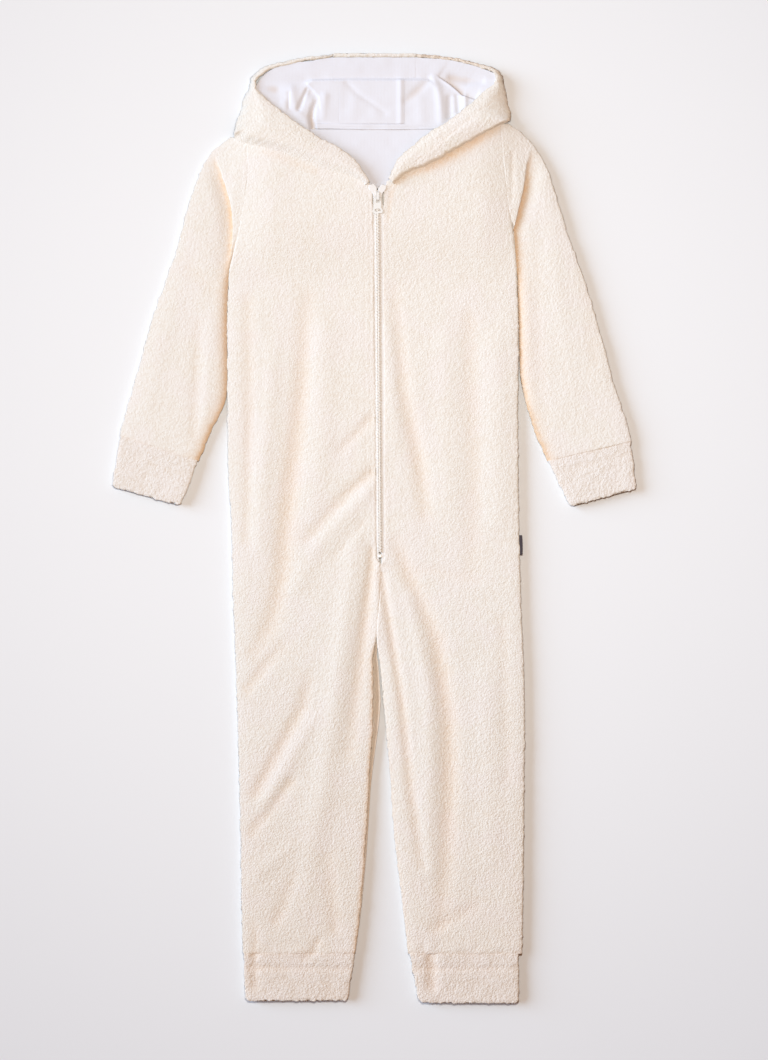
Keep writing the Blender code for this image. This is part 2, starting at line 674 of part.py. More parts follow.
def zip_heights(top, bottom):
    """The rows of the front's zip edge that lie between two heights, with both ends."""
    rows = [row[3] for row in RIGHT_HALF if bottom + 1.0 < row[3] < top - 1.0]
    return np.array([top] + rows + [bottom])


def combine(base, other, operation):
    """Joins another solid to a base, or takes it out of the base, with an exact Boolean."""
    step = base.modifiers.new("combine", "BOOLEAN")
    step.operation = operation
    step.solver = "EXACT"
    step.object = other
    bpy.context.view_layer.update()
    evaluated = base.evaluated_get(bpy.context.evaluated_depsgraph_get())
    mesh = bpy.data.meshes.new_from_object(evaluated)
    base.modifiers.clear()
    base.data = mesh
    bpy.data.objects.remove(other, do_unlink=True)


def profile_solid(name, outline, low, high, axis, look):
    """A prism: an outline in two axes, extruded along the third from low to high."""
    count = len(outline)
    points = []
    for level in (low, high):
        for a, b in outline:
            points.append((level, a, b) if axis == "X" else (a, b, level))
    faces = [tuple(range(count)), tuple(range(2 * count - 1, count - 1, -1))]
    for k in range(count):
        after = (k + 1) % count
        faces.append((k, k + count, after + count, after))
    return add_object(name, points, faces, look)


def slider(name, look):
    """Upper plate with a bridge for the pull tab, a post between the tapes and a sole under them."""
    centre = float(zip_centre(PIVOT_Y))
    half, nose = SLIDER_WIDTH / 2.0, SLIDER_NOSE_WIDTH / 2.0
    mid_y = (SLIDER_TOP_Y + SLIDER_END_Y) / 2.0
    outline = [
        (centre - half, SLIDER_TOP_Y - 1.5),
        (centre - half + 1.5, SLIDER_TOP_Y),
        (centre + half - 1.5, SLIDER_TOP_Y),
        (centre + half, SLIDER_TOP_Y - 1.5),
        (centre + half, mid_y),
        (centre + nose, SLIDER_END_Y),
        (centre - nose, SLIDER_END_Y),
        (centre - half, mid_y),
    ]
    low, high = (LIFT + z for z in SLIDER_PLATE_Z)
    body = profile_solid(name, outline, low, high, "Z", look)
    sole_low, sole_high = (LIFT + z for z in SLIDER_SOLE_Z)
    sole = profile_solid("sole", outline, sole_low, sole_high, "Z", look)
    combine(body, sole, "UNION")
    post_x = (centre - SLIDER_POST_WIDTH / 2.0, centre + SLIDER_POST_WIDTH / 2.0)
    post_y = (SLIDER_TOP_Y - 0.3, SLIDER_TOP_Y - 0.3 - SLIDER_POST_LENGTH)
    post = block("post", post_x, post_y, (sole_low + 0.2, high - 0.2), look)
    combine(body, post, "UNION")
    rise = ROD_CLEARANCE * 2.0 + ROD_RADIUS * 2.0
    end, start = BRIDGE_Y
    arch = [
        (end, high - 0.2),
        (end, high + rise),
        (end + BRIDGE_BAR, high + rise + BRIDGE_BAR),
        (start - BRIDGE_BAR, high + rise + BRIDGE_BAR),
        (start, high + rise),
        (start, high - 0.2),
        (start - BRIDGE_BAR, high - 0.2),
        (start - BRIDGE_BAR, high + rise),
        (end + BRIDGE_BAR, high + rise),
        (end + BRIDGE_BAR, high - 0.2),
    ]
    bridge = profile_solid("bridge", arch, centre - BRIDGE_WIDTH / 2.0, centre + BRIDGE_WIDTH / 2.0, "X", look)
    combine(body, bridge, "UNION")
    return body


def pull_tab(name, look):
    """A flat tab with an eye round the slider's bridge and an oval hole, its origin on the rod's axis."""
    centre = float(zip_centre(PIVOT_Y))
    pivot_z = LIFT + SLIDER_PLATE_Z[1] + ROD_CLEARANCE + ROD_RADIUS
    waist, flare = TAB_WAIST / 2.0, TAB_FLARE / 2.0
    outline = [
        (-waist + 0.6, 0.0),
        (-waist, -0.6),
        (-waist + 0.2, -9.5),
        (-flare + 0.4, -12.0),
        (-flare, -13.6),
        (-flare + 1.4, -15.2),
        (0.0, -TAB_LENGTH),
        (flare - 1.4, -15.2),
        (flare, -13.6),
        (flare - 0.4, -12.0),
        (waist - 0.2, -9.5),
        (waist, -0.6),
        (waist - 0.6, 0.0),
    ]
    low, high = -TAB_THICKNESS / 2.0, TAB_THICKNESS / 2.0
    tab = profile_solid(name, outline, low, high, "Z", look)
    angle = np.linspace(0.0, 2.0 * np.pi, 12, endpoint=False)
    rod_ring = [(ROD_RADIUS * math.sin(a), ROD_RADIUS * math.cos(a)) for a in angle]
    rod = profile_solid("rod", rod_ring, -waist + 0.3, waist - 0.3, "X", look)
    combine(tab, rod, "UNION")
    eye = [
        (-TAB_EYE_WIDTH / 2.0, -ROD_RADIUS),
        (TAB_EYE_WIDTH / 2.0, -ROD_RADIUS),
        (TAB_EYE_WIDTH / 2.0, -TAB_EYE_END),
        (-TAB_EYE_WIDTH / 2.0, -TAB_EYE_END),
    ]
    combine(tab, profile_solid("eye", eye, -2.0, 2.0, "Z", look), "DIFFERENCE")
    hole_y = -TAB_LENGTH + 3.4
    oval = [(TAB_HOLE_WIDTH / 2.0 * math.cos(a), hole_y + TAB_HOLE_LENGTH / 2.0 * math.sin(a)) for a in angle]
    combine(tab, profile_solid("oval", oval, -2.0, 2.0, "Z", look), "DIFFERENCE")
    tab.location = (centre * MM, PIVOT_Y * MM, pivot_z * MM)
    return tab


def build():
    clear_scene()
    teddy = material("teddy", TEDDY_COLOUR, 0.95)
    jersey = material("jersey", JERSEY_COLOUR, 0.8)
    zip_white = material("zip_white", ZIP_COLOUR, 0.45)
    navy = material("navy", LABEL_COLOUR, 0.8)

    front_panel("front_right", RIGHT_HALF, teddy)
    front_panel("front_left", LEFT_HALF, teddy)
    back_panel("back_right", RIGHT_HALF, -1.0, teddy)
    back_panel("back_left", LEFT_HALF, 1.0, teddy)
    sleeve("sleeve_right", RIGHT_SLEEVE, teddy)
    sleeve("sleeve_left", LEFT_SLEEVE, teddy)
    cuff("sleeve_cuff_right", RIGHT_SLEEVE_CUFF, teddy)
    cuff("sleeve_cuff_left", LEFT_SLEEVE_CUFF, teddy)
    cuff("leg_cuff_right", RIGHT_LEG_CUFF, teddy)
    cuff("leg_cuff_left", LEFT_LEG_CUFF, teddy)

    hood_side("hood_right", HOOD_RIGHT, teddy)
    hood_side("hood_left", HOOD_LEFT, teddy)
    hood_centre("hood_centre", teddy)
    pouch("hood_folded_depth", teddy)
    hood_lining("hood_lining_right", LINING_RIGHT, jersey)
    hood_lining("hood_lining_left", LINING_LEFT, jersey)
    hood_lining_centre("hood_lining_centre", jersey)
    facing("back_neck_facing", jersey)
    block("neck_tape", NECK_TAPE_X, NECK_TAPE_Y, NECK_TAPE_Z, jersey)

    tape_rows = zip_heights(ZIP_TOP_Y, ZIP_TAPE_END_Y)
    coil_rows = zip_heights(COIL_TOP_Y, ZIP_BOTTOM_Y + STOP_LENGTH + SEAM_GAP)
    for side, word in ((-1.0, "right"), (1.0, "left")):
        tape = (tape_rows, ZIP_TAPE_NEAR, ZIP_TAPE_WIDTH, ZIP_TAPE_Z, TAPE)
        zip_strip("zip_tape_" + word, side, *tape, zip_white)
        coil = (coil_rows, SEAM_GAP / 2.0, COIL_HALF_WIDTH, COIL_Z, COIL_THICKNESS)
        zip_strip("zip_coil_" + word, side, *coil, zip_white)
    stop_x = zip_centre(np.array([ZIP_BOTTOM_Y]))[0]
    stop_y = (ZIP_BOTTOM_Y, ZIP_BOTTOM_Y + STOP_LENGTH)
    block("zip_stop", (stop_x - 2.2, stop_x + 2.2), stop_y, (COIL_Z, COIL_Z + 1.8), zip_white)
    slider("zip_slider", zip_white)
    pull_tab("zip_pull_tab", zip_white)

    label_z = (TEDDY, TEDDY + LABEL_THICKNESS)
    block("side_label", LABEL_X, LABEL_Y, label_z, navy)


build()
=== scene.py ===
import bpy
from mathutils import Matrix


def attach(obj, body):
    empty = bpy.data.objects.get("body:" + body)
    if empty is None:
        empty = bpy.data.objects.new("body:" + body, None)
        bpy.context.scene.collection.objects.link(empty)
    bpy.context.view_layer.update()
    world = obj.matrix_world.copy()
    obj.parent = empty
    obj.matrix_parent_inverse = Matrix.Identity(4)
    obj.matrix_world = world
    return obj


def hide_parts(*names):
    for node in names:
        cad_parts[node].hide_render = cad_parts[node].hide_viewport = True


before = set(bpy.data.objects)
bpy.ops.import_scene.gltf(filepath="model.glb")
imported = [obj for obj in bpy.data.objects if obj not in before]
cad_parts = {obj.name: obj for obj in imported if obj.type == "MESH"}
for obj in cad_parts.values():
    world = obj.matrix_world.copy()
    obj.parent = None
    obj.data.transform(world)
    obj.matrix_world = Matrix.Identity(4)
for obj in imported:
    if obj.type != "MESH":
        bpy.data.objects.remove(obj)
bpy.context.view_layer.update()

# A child's hooded zip onesie in teddy cloth, laid flat: the looks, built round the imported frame.
# Sizes are in millimetres: x to the wearer's left, y to the head, z up from the surface. A piece's table has a
# row for each section through it, and the note above it names the columns. A value for each section is a column
# of numbers, so that it meets a grid's rows.
import itertools
import math

import bpy
import numpy as np
from mathutils import Vector

mm = 0.001
fineness = 1.0  # a quick try has fewer points

teddyPile = {"size": 3.0, "height": 0.21, "ground": 0.45, "tuftSize": 14.0, "tuft": 0.25, "step": 1.25}
cuffPile = dict(teddyPile, height=0.40, tuftSize=12.0, step=1.2)
lift = {"height": 6.3, "middleX": 2.0, "halfFlat": 100.0, "fadeAcross": 65.0, "flatTo": 313.0,
        "fadeAlong": 75.0}
# how far edges wander, the sizes of its two waves and the second one's share
fray = {"height": 0.55, "sizes": (4.6, 2.7, 7 / 11)}


def smoothStep(t):
    # 0 below 0, 1 above 1, and 3t^2 - 2t^3 between
    t = np.clip(t, 0.0, 1.0)
    return t * t * (3.0 - 2.0 * t)


def blendTo(a, b, share):
    # a where the share is 0, b where it is 1
    return a + (b - a) * share


def swell(distance, amount, reach):
    # the amount at no distance, falling off as exp(-(distance / reach)^2)
    return amount * np.exp(-(distance / reach) ** 2)


def roundOff(distance, radius):
    # the share of full height at a distance from an edge: a quarter circle
    return np.sqrt(np.maximum(1.0 - (1.0 - np.clip(distance / radius, 0.0, 1.0)) ** 2, 0.0))


def slopeOf(rise):
    # how far a quarter circle has turned from level at that share of its height
    return np.sqrt(np.clip(1.0 - rise ** 2, 0.0, 1.0))


def lengthOf(ways):
    return np.linalg.norm(ways, axis=-1, keepdims=True)


def unit(ways):
    return ways / np.maximum(lengthOf(ways), 1e-9)


def liftAt(x, y):
    # height that the hood's hidden folds add: full over the upper back, fading out sideways and downwards
    across = smoothStep((np.abs(x - lift["middleX"]) - lift["halfFlat"]) / lift["fadeAcross"])
    along = smoothStep((lift["flatTo"] - y) / lift["fadeAlong"])
    return lift["height"] * (1.0 - across) * (1.0 - along)


def throughRows(table, step):
    # a smooth curve through every column of a table, with points about a step apart: cubic pieces whose slopes
    # are the harmonic mean of the slopes on both sides, or none where those differ in sign, so that nothing
    # swings past a row; with it come each point's distances from the first and from the last row
    table = np.array(table, float)
    jumps = np.diff(table, axis=0)
    runs = np.maximum(lengthOf(jumps[:, 0:2]), lengthOf(jumps[:, 2:4]))
    knots = np.concatenate([[0.0], np.cumsum(np.maximum(runs, 0.5))])
    length = knots[-1]
    ends = np.array([0.25, 0.6])  # two close rows at each end, where edges are rounded
    marks = np.linspace(0.0, length, max(4, int(length * fineness / step)))
    marks = np.sort(np.concatenate([marks, ends, length - ends]))
    secant = jumps / np.diff(knots)[:, None]
    before, after = secant[:-1], secant[1:]
    same = before * after > 0
    mean = 2.0 * before * after / np.where(same, before + after, 1.0)
    slope = np.concatenate([secant[:1], np.where(same, mean, 0.0), secant[-1:]])
    k = np.clip(np.searchsorted(knots, marks, side="right") - 1, 0, len(knots) - 2)
    width = (knots[k + 1] - knots[k])[:, None]
    t = (marks - knots[k])[:, None] / width
    bend = t * (1 - t) * (slope[k] * width * (1 - t) - slope[k + 1] * width * t)
    return blendTo(table[k], table[k + 1], t * t * (3 - 2 * t)) + bend, marks[:, None], length - marks[:, None]


def fromLine(x, y, line):
    # for each stretch of a line: the points' distance from it and to its right, and the line's own values
    for start, end in zip(line, line[1:]):
        runX, runY = end[0] - start[0], end[1] - start[1]
        length = math.hypot(runX, runY)
        t = np.clip(((x - start[0]) * runX + (y - start[1]) * runY) / length ** 2, 0.0, 1.0)
        offX, offY = x - start[0] - t * runX, y - start[1] - t * runY
        own = [blendTo(a, b, t) for a, b in zip(start[2:], end[2:])]
        yield np.hypot(offX, offY), (offX * runY - offY * runX) / length, *own


def creaseHeight(x, y, creases):
    # sum over lines of height * exp(-(distance / half width)^2), both read between the line's own points
    total = np.zeros_like(x)
    for line in creases:
        nearest, height = np.full(x.shape, 1e9), np.zeros_like(x)
        for apart, _, lineHeight, halfWidth in fromLine(x, y, line):
            closer = apart / halfWidth < nearest
            nearest = np.where(closer, apart / halfWidth, nearest)
            height = np.where(closer, lineHeight, height)
        total += swell(nearest, height, 1.0)
    return total


def cliffHeight(x, y, cliffs):
    # a fold's edge: level on the line's left, then a drop over the bank that recovers over the reach to its
    # right; past the line's ends it fades out as exp(-(distance / 3)^2)
    total = np.zeros_like(x)
    for cliff in cliffs:
        nearest, side, share = np.full(x.shape, 1e9), np.zeros_like(x), np.zeros_like(x)
        for apart, aside, lineShare in fromLine(x, y, cliff["line"]):
            closer = apart < nearest
            nearest = np.where(closer, apart, nearest)
            side = np.where(closer, aside, side)
            share = np.where(closer, lineShare, share)
        fade = swell(np.sqrt(np.maximum(nearest ** 2 - side ** 2, 0.0)), share, 3.0)
        drop = smoothStep(side / cliff["bank"] + 0.5) * np.exp(-np.maximum(side, 0.0) / cliff["reach"])
        total += fade * (swell(side + cliff["bank"], cliff["ridge"], cliff["roll"]) - cliff["drop"] * drop)
    return total


def scatter(i, j, k, salt):
    # a repeatable random number from 0 to 1 for each cell of a lattice: its numbers times large primes, mixed
    n = (i * 73856093) ^ (j * 19349663) ^ (k * 83492791) ^ (salt * 2654435761 % 4294967296)
    n = n & 0xFFFFFFFF
    n = ((n ^ (n >> 15)) * 2246822519) & 0xFFFFFFFF
    n = ((n ^ (n >> 13)) * 3266489917) & 0xFFFFFFFF
    return ((n ^ (n >> 16)) & 0xFFFFFF) / 16777216.0


def nubs(points, size, salt):
    # curled loops of yarn: the highest of the stretched balls in the 27 cells round a point, from 0 to 1
    place = points / size
    cell = np.floor(place).astype(np.int64)
    best = np.zeros(points.shape[:-1])
    for shift in itertools.product((-1, 0, 1), repeat=3):
        i, j, k = (cell[..., axis] + shift[axis] for axis in range(3))
        draw = [scatter(i, j, k, salt + n) for n in range(6)]
        toX = place[..., 0] - i - draw[0]
        toY = place[..., 1] - j - draw[1]
        toZ = place[..., 2] - k - draw[2]
        turn = draw[3] * math.pi
        along = toX * np.cos(turn) + toY * np.sin(turn)
        apart = toX ** 2 + toY ** 2 + toZ ** 2 - 0.15 * along ** 2
        reach = 0.50 + 0.30 * draw[4]
        tall = 0.55 + 0.45 * draw[5]
        best = np.maximum(best, tall * (1.0 - apart / reach ** 2))
    return best


def waves(x, y, size, salt):
    # smooth value noise from -1 to 1 on a lattice of that size
    u, v = x / size, y / size
    i, j = np.floor(u).astype(np.int64), np.floor(v).astype(np.int64)
    s, t = smoothStep(u - i), smoothStep(v - j)
    zero = np.zeros_like(i)
    low = blendTo(scatter(i, j, zero, salt), scatter(i + 1, j, zero, salt), s)
    high = blendTo(scatter(i, j + 1, zero, salt), scatter(i + 1, j + 1, zero, salt), s)
    return 2.0 * blendTo(low, high, t) - 1.0


def ripples(x, y, salt, large, small, share=0.5):
    # large waves and a share of small ones
    return waves(x, y, large, salt) + share * waves(x, y, small, salt + 1)


def normalsOf(points, wrap=False):
    # unit normals of a grid: the cross product of its two gradients
    if wrap:
        wide = np.concatenate([points[:, -2:], points, points[:, :2]], axis=1)
        across = np.gradient(wide, axis=1)[:, 2:-2]
    else:
        across = np.gradient(points, axis=1)
    return unit(np.cross(across, np.gradient(points, axis=0)))


def addObject(name, data):
    thing = bpy.data.objects.new(name, data)
    bpy.context.scene.collection.objects.link(thing)
    return thing


def makeMesh(name, points, quads, rims=(), **marks):
    # points in mm and quads of their numbers; a rim is a loop of numbers that closes an end, and a mark is an
    # attribute with a value for each point. Faces are turned to point outwards by the sign of the volume.
    mesh = bpy.data.meshes.new(name)
    flat = points.reshape(-1, 3) * mm
    a, b, c, d = (flat[quads[:, k]] for k in range(4))
    volume = (a * np.cross(b, c)).sum() + (a * np.cross(c, d)).sum()
    for rim in rims:
        ring = flat[rim]
        volume += (ring.mean(axis=0) * np.cross(ring, np.roll(ring, -1, axis=0)).sum(axis=0)).sum()
    if volume < 0:
        quads = quads[:, ::-1]
        rims = [rim[::-1] for rim in rims]
    corners = np.concatenate([quads.ravel()] + [np.asarray(rim) for rim in rims]).astype(np.int32)
    sizes = [4] * len(quads) + [len(rim) for rim in rims]
    starts = np.concatenate([[0], np.cumsum(sizes)[:-1]]).astype(np.int32)
    mesh.vertices.add(len(flat))
    mesh.vertices.foreach_set("co", flat.astype(np.float32).ravel())
    mesh.loops.add(len(corners))
    mesh.loops.foreach_set("vertex_index", corners)
    mesh.polygons.add(len(sizes))
    mesh.polygons.foreach_set("loop_start", starts)
    mesh.update(calc_edges=True)
    mesh.validate()
    mesh.shade_smooth()
    for mark, values in marks.items():
        layer = mesh.attributes.new(mark, "FLOAT", "POINT")
        layer.data.foreach_set("value", np.asarray(values, np.float32).ravel())
    return addObject(name, mesh)


def gridQuads(rows, columns, wrapAlong=False):
    # a grid's quads, closed across from its last column to its first, and along too if asked
    index = np.arange(rows * columns).reshape(rows, columns)
    index = np.concatenate([index, index[:, :1]], axis=1)
    if wrapAlong:
        index = np.concatenate([index, index[:1]], axis=0)
    return np.stack([index[:-1, :-1], index[:-1, 1:], index[1:, 1:], index[1:, :-1]], axis=-1).reshape(-1, 4)


def cappedTubes(name, tubes, **marks):
    # tubes of rings, as (tube, ring, point, 3), each with a face over both ends
    count, rows, columns = tubes.shape[:3]
    firsts = np.arange(count) * rows * columns
    quads = gridQuads(rows, columns)[None] + firsts[:, None, None]
    ring = np.arange(columns)
    rims = [first + ring[::-1] for first in firsts]
    rims += [first + (rows - 1) * columns + ring for first in firsts]
    return makeMesh(name, tubes, quads.reshape(-1, 4), rims, **marks)


def loopShell(name, outside, inside, insideShade=0.0, **marks):
    # a thin shell whose every row is one closed loop: across the outside, then back along the inside
    loops = np.concatenate([outside, inside[:, ::-1]], axis=1)
    for mark, values in marks.items():
        # the inner layer gets one painted shade share of its own
        behind = np.zeros(inside.shape[:2]) + (insideShade if mark == "crease" else 0.0)
        marks[mark] = np.concatenate([values, behind[:, ::-1]], axis=1)
    return cappedTubes(name, loops[None], **marks)


def tubeShell(name, outside, inside, **marks):
    # a tube with a wall: rings along the outside, then back along the inside, closed into one ring of rings
    rings = np.concatenate([outside, inside[::-1]], axis=0)
    blank = np.zeros(inside.shape[:2])
    marks = {mark: np.concatenate([values, blank], axis=0) for mark, values in marks.items()}
    return makeMesh(name, rings, gridQuads(*rings.shape[:2], wrapAlong=True), **marks)


def acrossRows(start, end, distance):
    # x and y of points at distances from the start towards the end, row by row
    points = start[:, None] + unit(end - start)[:, None] * distance[..., None]
    return points[..., 0], points[..., 1]


def roundedMarks(width, startRadius, endRadius, middle, turns=7):
    # distances across, with quarter circles at both ends, and the share of full height at each for either end
    full = np.ones_like(width)
    angle = np.linspace(0.0, math.pi / 2, turns)
    near = full * startRadius * (1 - np.cos(angle))
    far = width - full * endRadius * (1 - np.cos(angle))[::-1]
    flat = startRadius + (width - startRadius - endRadius) * np.linspace(0.0, 1.0, middle + 2)[1:-1]
    rise = np.concatenate([np.sin(angle), np.ones(middle + turns)])
    return np.concatenate([near, flat, far], axis=1), full * rise, full * rise[::-1]


def columnsFor(width, step, least=0):
    return max(least, int(width.max() * fineness / step))


def evenPicks(count, wanted):
    # the numbers of a few rows or columns, evenly apart, with the first and the last
    return np.unique(np.linspace(0, count - 1, wanted).astype(int))


def grown(points, pile, salt, hold=1.0, wrap=False, down=False):
    # pushes a grid of (rows, columns, 3) mm out along its normals by the nubs; also gives the nubs' height
    # hold fades the pile where it is pressed; down says that the grid faces the surface below
    normal = normalsOf(points, wrap)
    top = points[..., 2] >= np.median(points[..., 2])
    if (normal[..., 2][top].mean() < 0) != down:
        normal = -normal
    height = nubs(points, pile["size"], salt)
    tuft = 1.0 + pile["tuft"] * waves(points[..., 0], points[..., 1], pile["tuftSize"], salt + 9)
    push = pile["height"] * (height - pile["ground"]) * tuft * hold
    grownPoints = points + normal * push[..., None]
    grownPoints[..., 2] = np.maximum(grownPoints[..., 2], 0.0)
    return grownPoints, height


def roughened(inner, outer, along, salt, innerHold=1.0, outerHold=1.0):
    # both edges of every row wander by parts of a millimetre, as curls of pile stand out at an edge
    way = unit(outer - inner)
    innerStray, outerStray = (fray["height"] * ripples(along, 0 * along, salt + k, *fray["sizes"])
                              for k in (50, 60))
    return inner - way * innerStray * innerHold, outer + way * outerStray * outerHold


def reachOut(table, end, inner=0.0, start=0.0):
    # moves the end rows on along the piece, and the inner edge outwards, to meet the next piece's pile
    rows = np.array(table, float)
    for row, beyond, by in ((0, 1, start), (-1, -2, end)):
        for k in (0, 2):
            rows[row, k:k + 2] += unit(rows[row, k:k + 2] - rows[beyond, k:k + 2]) * by
    rows[:, 0:2] -= unit(rows[:, 2:4] - rows[:, 0:2]) * np.reshape(inner, (-1, 1))
    return rows


def tuckedIn(inside, by=0.9, drop=0.5):
    # moves the edges of a shell's inner layer in and down, clear of the outer layer's pile
    for edge, beyond in ((0, 1), (-1, -2)):
        inside[:, edge, :2] += unit(inside[:, beyond] - inside[:, edge])[:, :2] * by
        inside[:, edge, 2] -= drop
    return inside


print("scene: helpers ready")

# body, down from the neck: side edge x and y, zip or inseam edge x and y, and the back's y there
bodyRight = [
    (-129.5, 398, -5.2, 343.4, 401),
    (-127.5, 376, -2.4, 332, 380),
    (-127.5, 357, -2.3, 318, 360),
    (-129.5, 336, -2.1, 303, 340),
    (-133, 314, -1.8, 288, 318),
    (-137, 292, -1.4, 272, 296),
    (-141, 274, -1.2, 256, 277),
    (-145, 256, -1.1, 240, 258),
    (-147.3, 232, -1, 220, 232),
    (-148, 200, -0.8, 194, 200),
    (-148, 151, -0.4, 150, 151),
    (-147.6, 100, -0.1, 100, 100),
    (-146.6, 45, 0.3, 45, 45),
    (-144, 12, 0.6, 12, 12),
    (-143, -30, 0.9, -29.5, -29.5),
    (-142.8, -38, 5.5, -37, -37.5),
    (-142, -72, 4.2, -72, -72),
    (-140.6, -107, 1.4, -107, -107),
    (-139.6, -130, -1.8, -130, -130),
    (-138, -180, -1.6, -180, -180),
    (-136.2, -240, -5.2, -240, -240),
    (-134.6, -307, -8.6, -307, -307),
    (-133.6, -373, -13.6, -373, -373),
    (-132.6, -424, -20, -424, -424),
]
bodyLeft = [
    (125, 403, 11.4, 345, 401),
    (127.5, 379, 9, 333, 380),
    (129.5, 357, 8.7, 318, 360),
    (131.5, 336, 8.6, 303, 340),
    (134.5, 314, 8.5, 288, 318),
    (137.5, 294, 8.5, 272, 296),
    (139.5, 276, 8.5, 256, 277),
    (141, 257, 8.6, 240, 258),
    (142.6, 232, 8.7, 220, 232),
    (143.6, 190, 8.9, 188, 190),
    (143.4, 150, 9.2, 150, 150),
    (142.8, 110, 9.5, 110, 110),
    (143.2, 50, 9.8, 50, 50),
    (144, -9, 9.9, -9, -9),
    (144.8, -30, 10, -29.5, -29.5),
    (145, -38, 5.8, -37, -37.5),
    (146, -78, 4.5, -72, -74),
    (147.6, -112, 1.7, -107, -109),
    (148.8, -140, 5, -137, -138),
    (149.7, -190, 10, -190, -190),
    (149.3, -240, 14.3, -240, -240),
    (148.8, -307, 19.2, -307, -307),
    (148, -365, 26, -365, -365),
    (147, -424, 33, -424, -424),
]
# creases of the body's front; here as in every piece's creases, a line's points are x, y, height, half width
bodyCreases = [
    [(-68, 232, -1, 9), (-73, 138, -2.2, 9), (-80, 80, -2.4, 10), (-84, 45, -2.6, 10), (-89, 0, -2.6, 10),
     (-93, -50, -2.2, 10), (-104, -95, -1.8, 9), (-120, -125, -1.2, 8)],
    [(-102, 180, 0.8, 9), (-104, 138, 1.4, 9), (-112, 50, 1.4, 9), (-114, -20, 0.9, 9)],
    [(-127, 228, -1, 7), (-126, 113, -1.3, 6), (-128, -12, -1, 6)],
    [(-50, 198, 1.2, 12), (-52, 98, 1.4, 12), (-60, 20, 0.8, 12)],
    [(-4, 109, -1.4, 5), (-34, 78, -0.9, 5)],
    [(-3, 56, -1.9, 5.5), (-28, 34, -1.8, 6), (-66, -10, -1.1, 7)],
    [(-8, 34, 1.2, 7), (-58, -20, 1.2, 9), (-80, -60, 0.7, 9)],
    [(-12, 6, -0.8, 4.5), (-40, -28, -0.6, 5)],
    [(-3, -22, -1.8, 4.5), (-4, -40, -2.6, 5), (-8, -76, -2.6, 6), (-12, -112, -2.5, 7), (-18, -162, -2, 8),
     (-26, -225, -1.2, 9)],
    [(-19, -12, 1.2, 9), (-36, -137, 2.6, 12), (-52, -262, 2.4, 13), (-64, -324, 1.4, 12),
     (-70, -380, 0.6, 12)],
    [(-66, -150, -0.8, 7), (-72, -178, -1.8, 6.5), (-119, -265, -1.9, 6.5)],
    [(-84, -253, -1.7, 6), (-122, -303, -1.5, 6)],
    [(-60, -190, 1, 7), (-110, -278, 1.4, 7)],
    [(-92, -118, -0.8, 7), (-109, -137, -1.5, 6), (-128, -162, -1.4, 6)],
    [(-85, -320, 1, 8), (-118, -345, 1, 8)],
    [(-78, -345, -0.9, 7), (-98, -392, -1.3, 6)],
    [(-46, -330, -0.9, 8), (-40, -400, -1.3, 7)],
    [(-120, -396, -0.8, 5), (-120, -424, -1.6, 5)],
    [(20, 238, -0.8, 7), (29, 138, -1.8, 7.5), (45, 63, -2.2, 8), (51, 13, -1.2, 8)],
    [(14, 200, 0.6, 6), (20, 90, 0.9, 7)],
    [(22, -14, -1, 7), (30, -37, -1.9, 8), (61, -112, -2.6, 9), (73, -187, -2.9, 9.5), (74, -262, -2.7, 9.5),
     (71, -343, -1.6, 9), (66, -395, -0.9, 8)],
    [(36, -70, 1.2, 8), (54, -165, 1.9, 9), (55, -262, 1.6, 9), (54, -340, 1, 9)],
    [(7, -46, -1.8, 4), (11.5, -76, -2.3, 4.5), (27, -174, -2.2, 5), (36, -262, -1.8, 5.5),
     (48, -337, -1.3, 6)],
    [(94, 207, -1, 9), (100, 50, -1.1, 10), (98, -40, -0.6, 10)],
    [(70, 190, 0.9, 12), (74, 20, 0.9, 12)],
    [(121, 188, 1.2, 12), (124, 8, 1.2, 12)],
    [(45, -40, -0.6, 5), (100, -52, -0.5, 6)],
    [(112, -150, 1, 12), (116, -330, 1, 12)],
    [(60, -400, -1, 6), (100, -378, -0.8, 7)],
    [(128, -90, -0.7, 6), (132, -250, -0.7, 6)],
    [(-56, -412, -1.4, 4), (-62, -424, -1.6, 4), (-72, -430, -1, 5)],
]
# the hood's soft shade on the fronts, as creases whose height only tints
hoodShade = [
    [(126, 400, 0.3, 4), (106, 388.5, 0.65, 5.5), (79, 373, 0.75, 6), (54, 359, 0.6, 5), (32, 351, 0.4, 3.5),
     (18, 340, 0.25, 3), (14, 318, 0.3, 2), (13, 305, 0.1, 2)],
    [(-110, 375, 0.15, 4), (-60, 356, 0.15, 4)],
]
# rows of topstitching that pull the cloth down
stitchLines = [
    [(-5.2, 326, -0.16, 0.9), (-4.6, 150, -0.16, 0.9), (-3.2, -28, -0.16, 0.9)],
    [(-10.4, 322, -0.10, 1.1), (-9.6, 150, -0.12, 1.1), (-7.6, -28, -0.12, 1.1)],
    [(21.6, 351, -0.25, 1.4), (15.6, 338, -0.3, 1.4), (15, 323, -0.3, 1.4), (13.4, 304, -0.12, 1.3)],
    [(13.4, 304, -0.08, 1.3), (14.6, 150, -0.03, 1.3), (16, -26, -0.06, 1.3)],
    [(6, -37.5, -0.4, 1.2), (18, -39.5, -0.4, 1.2)],
]
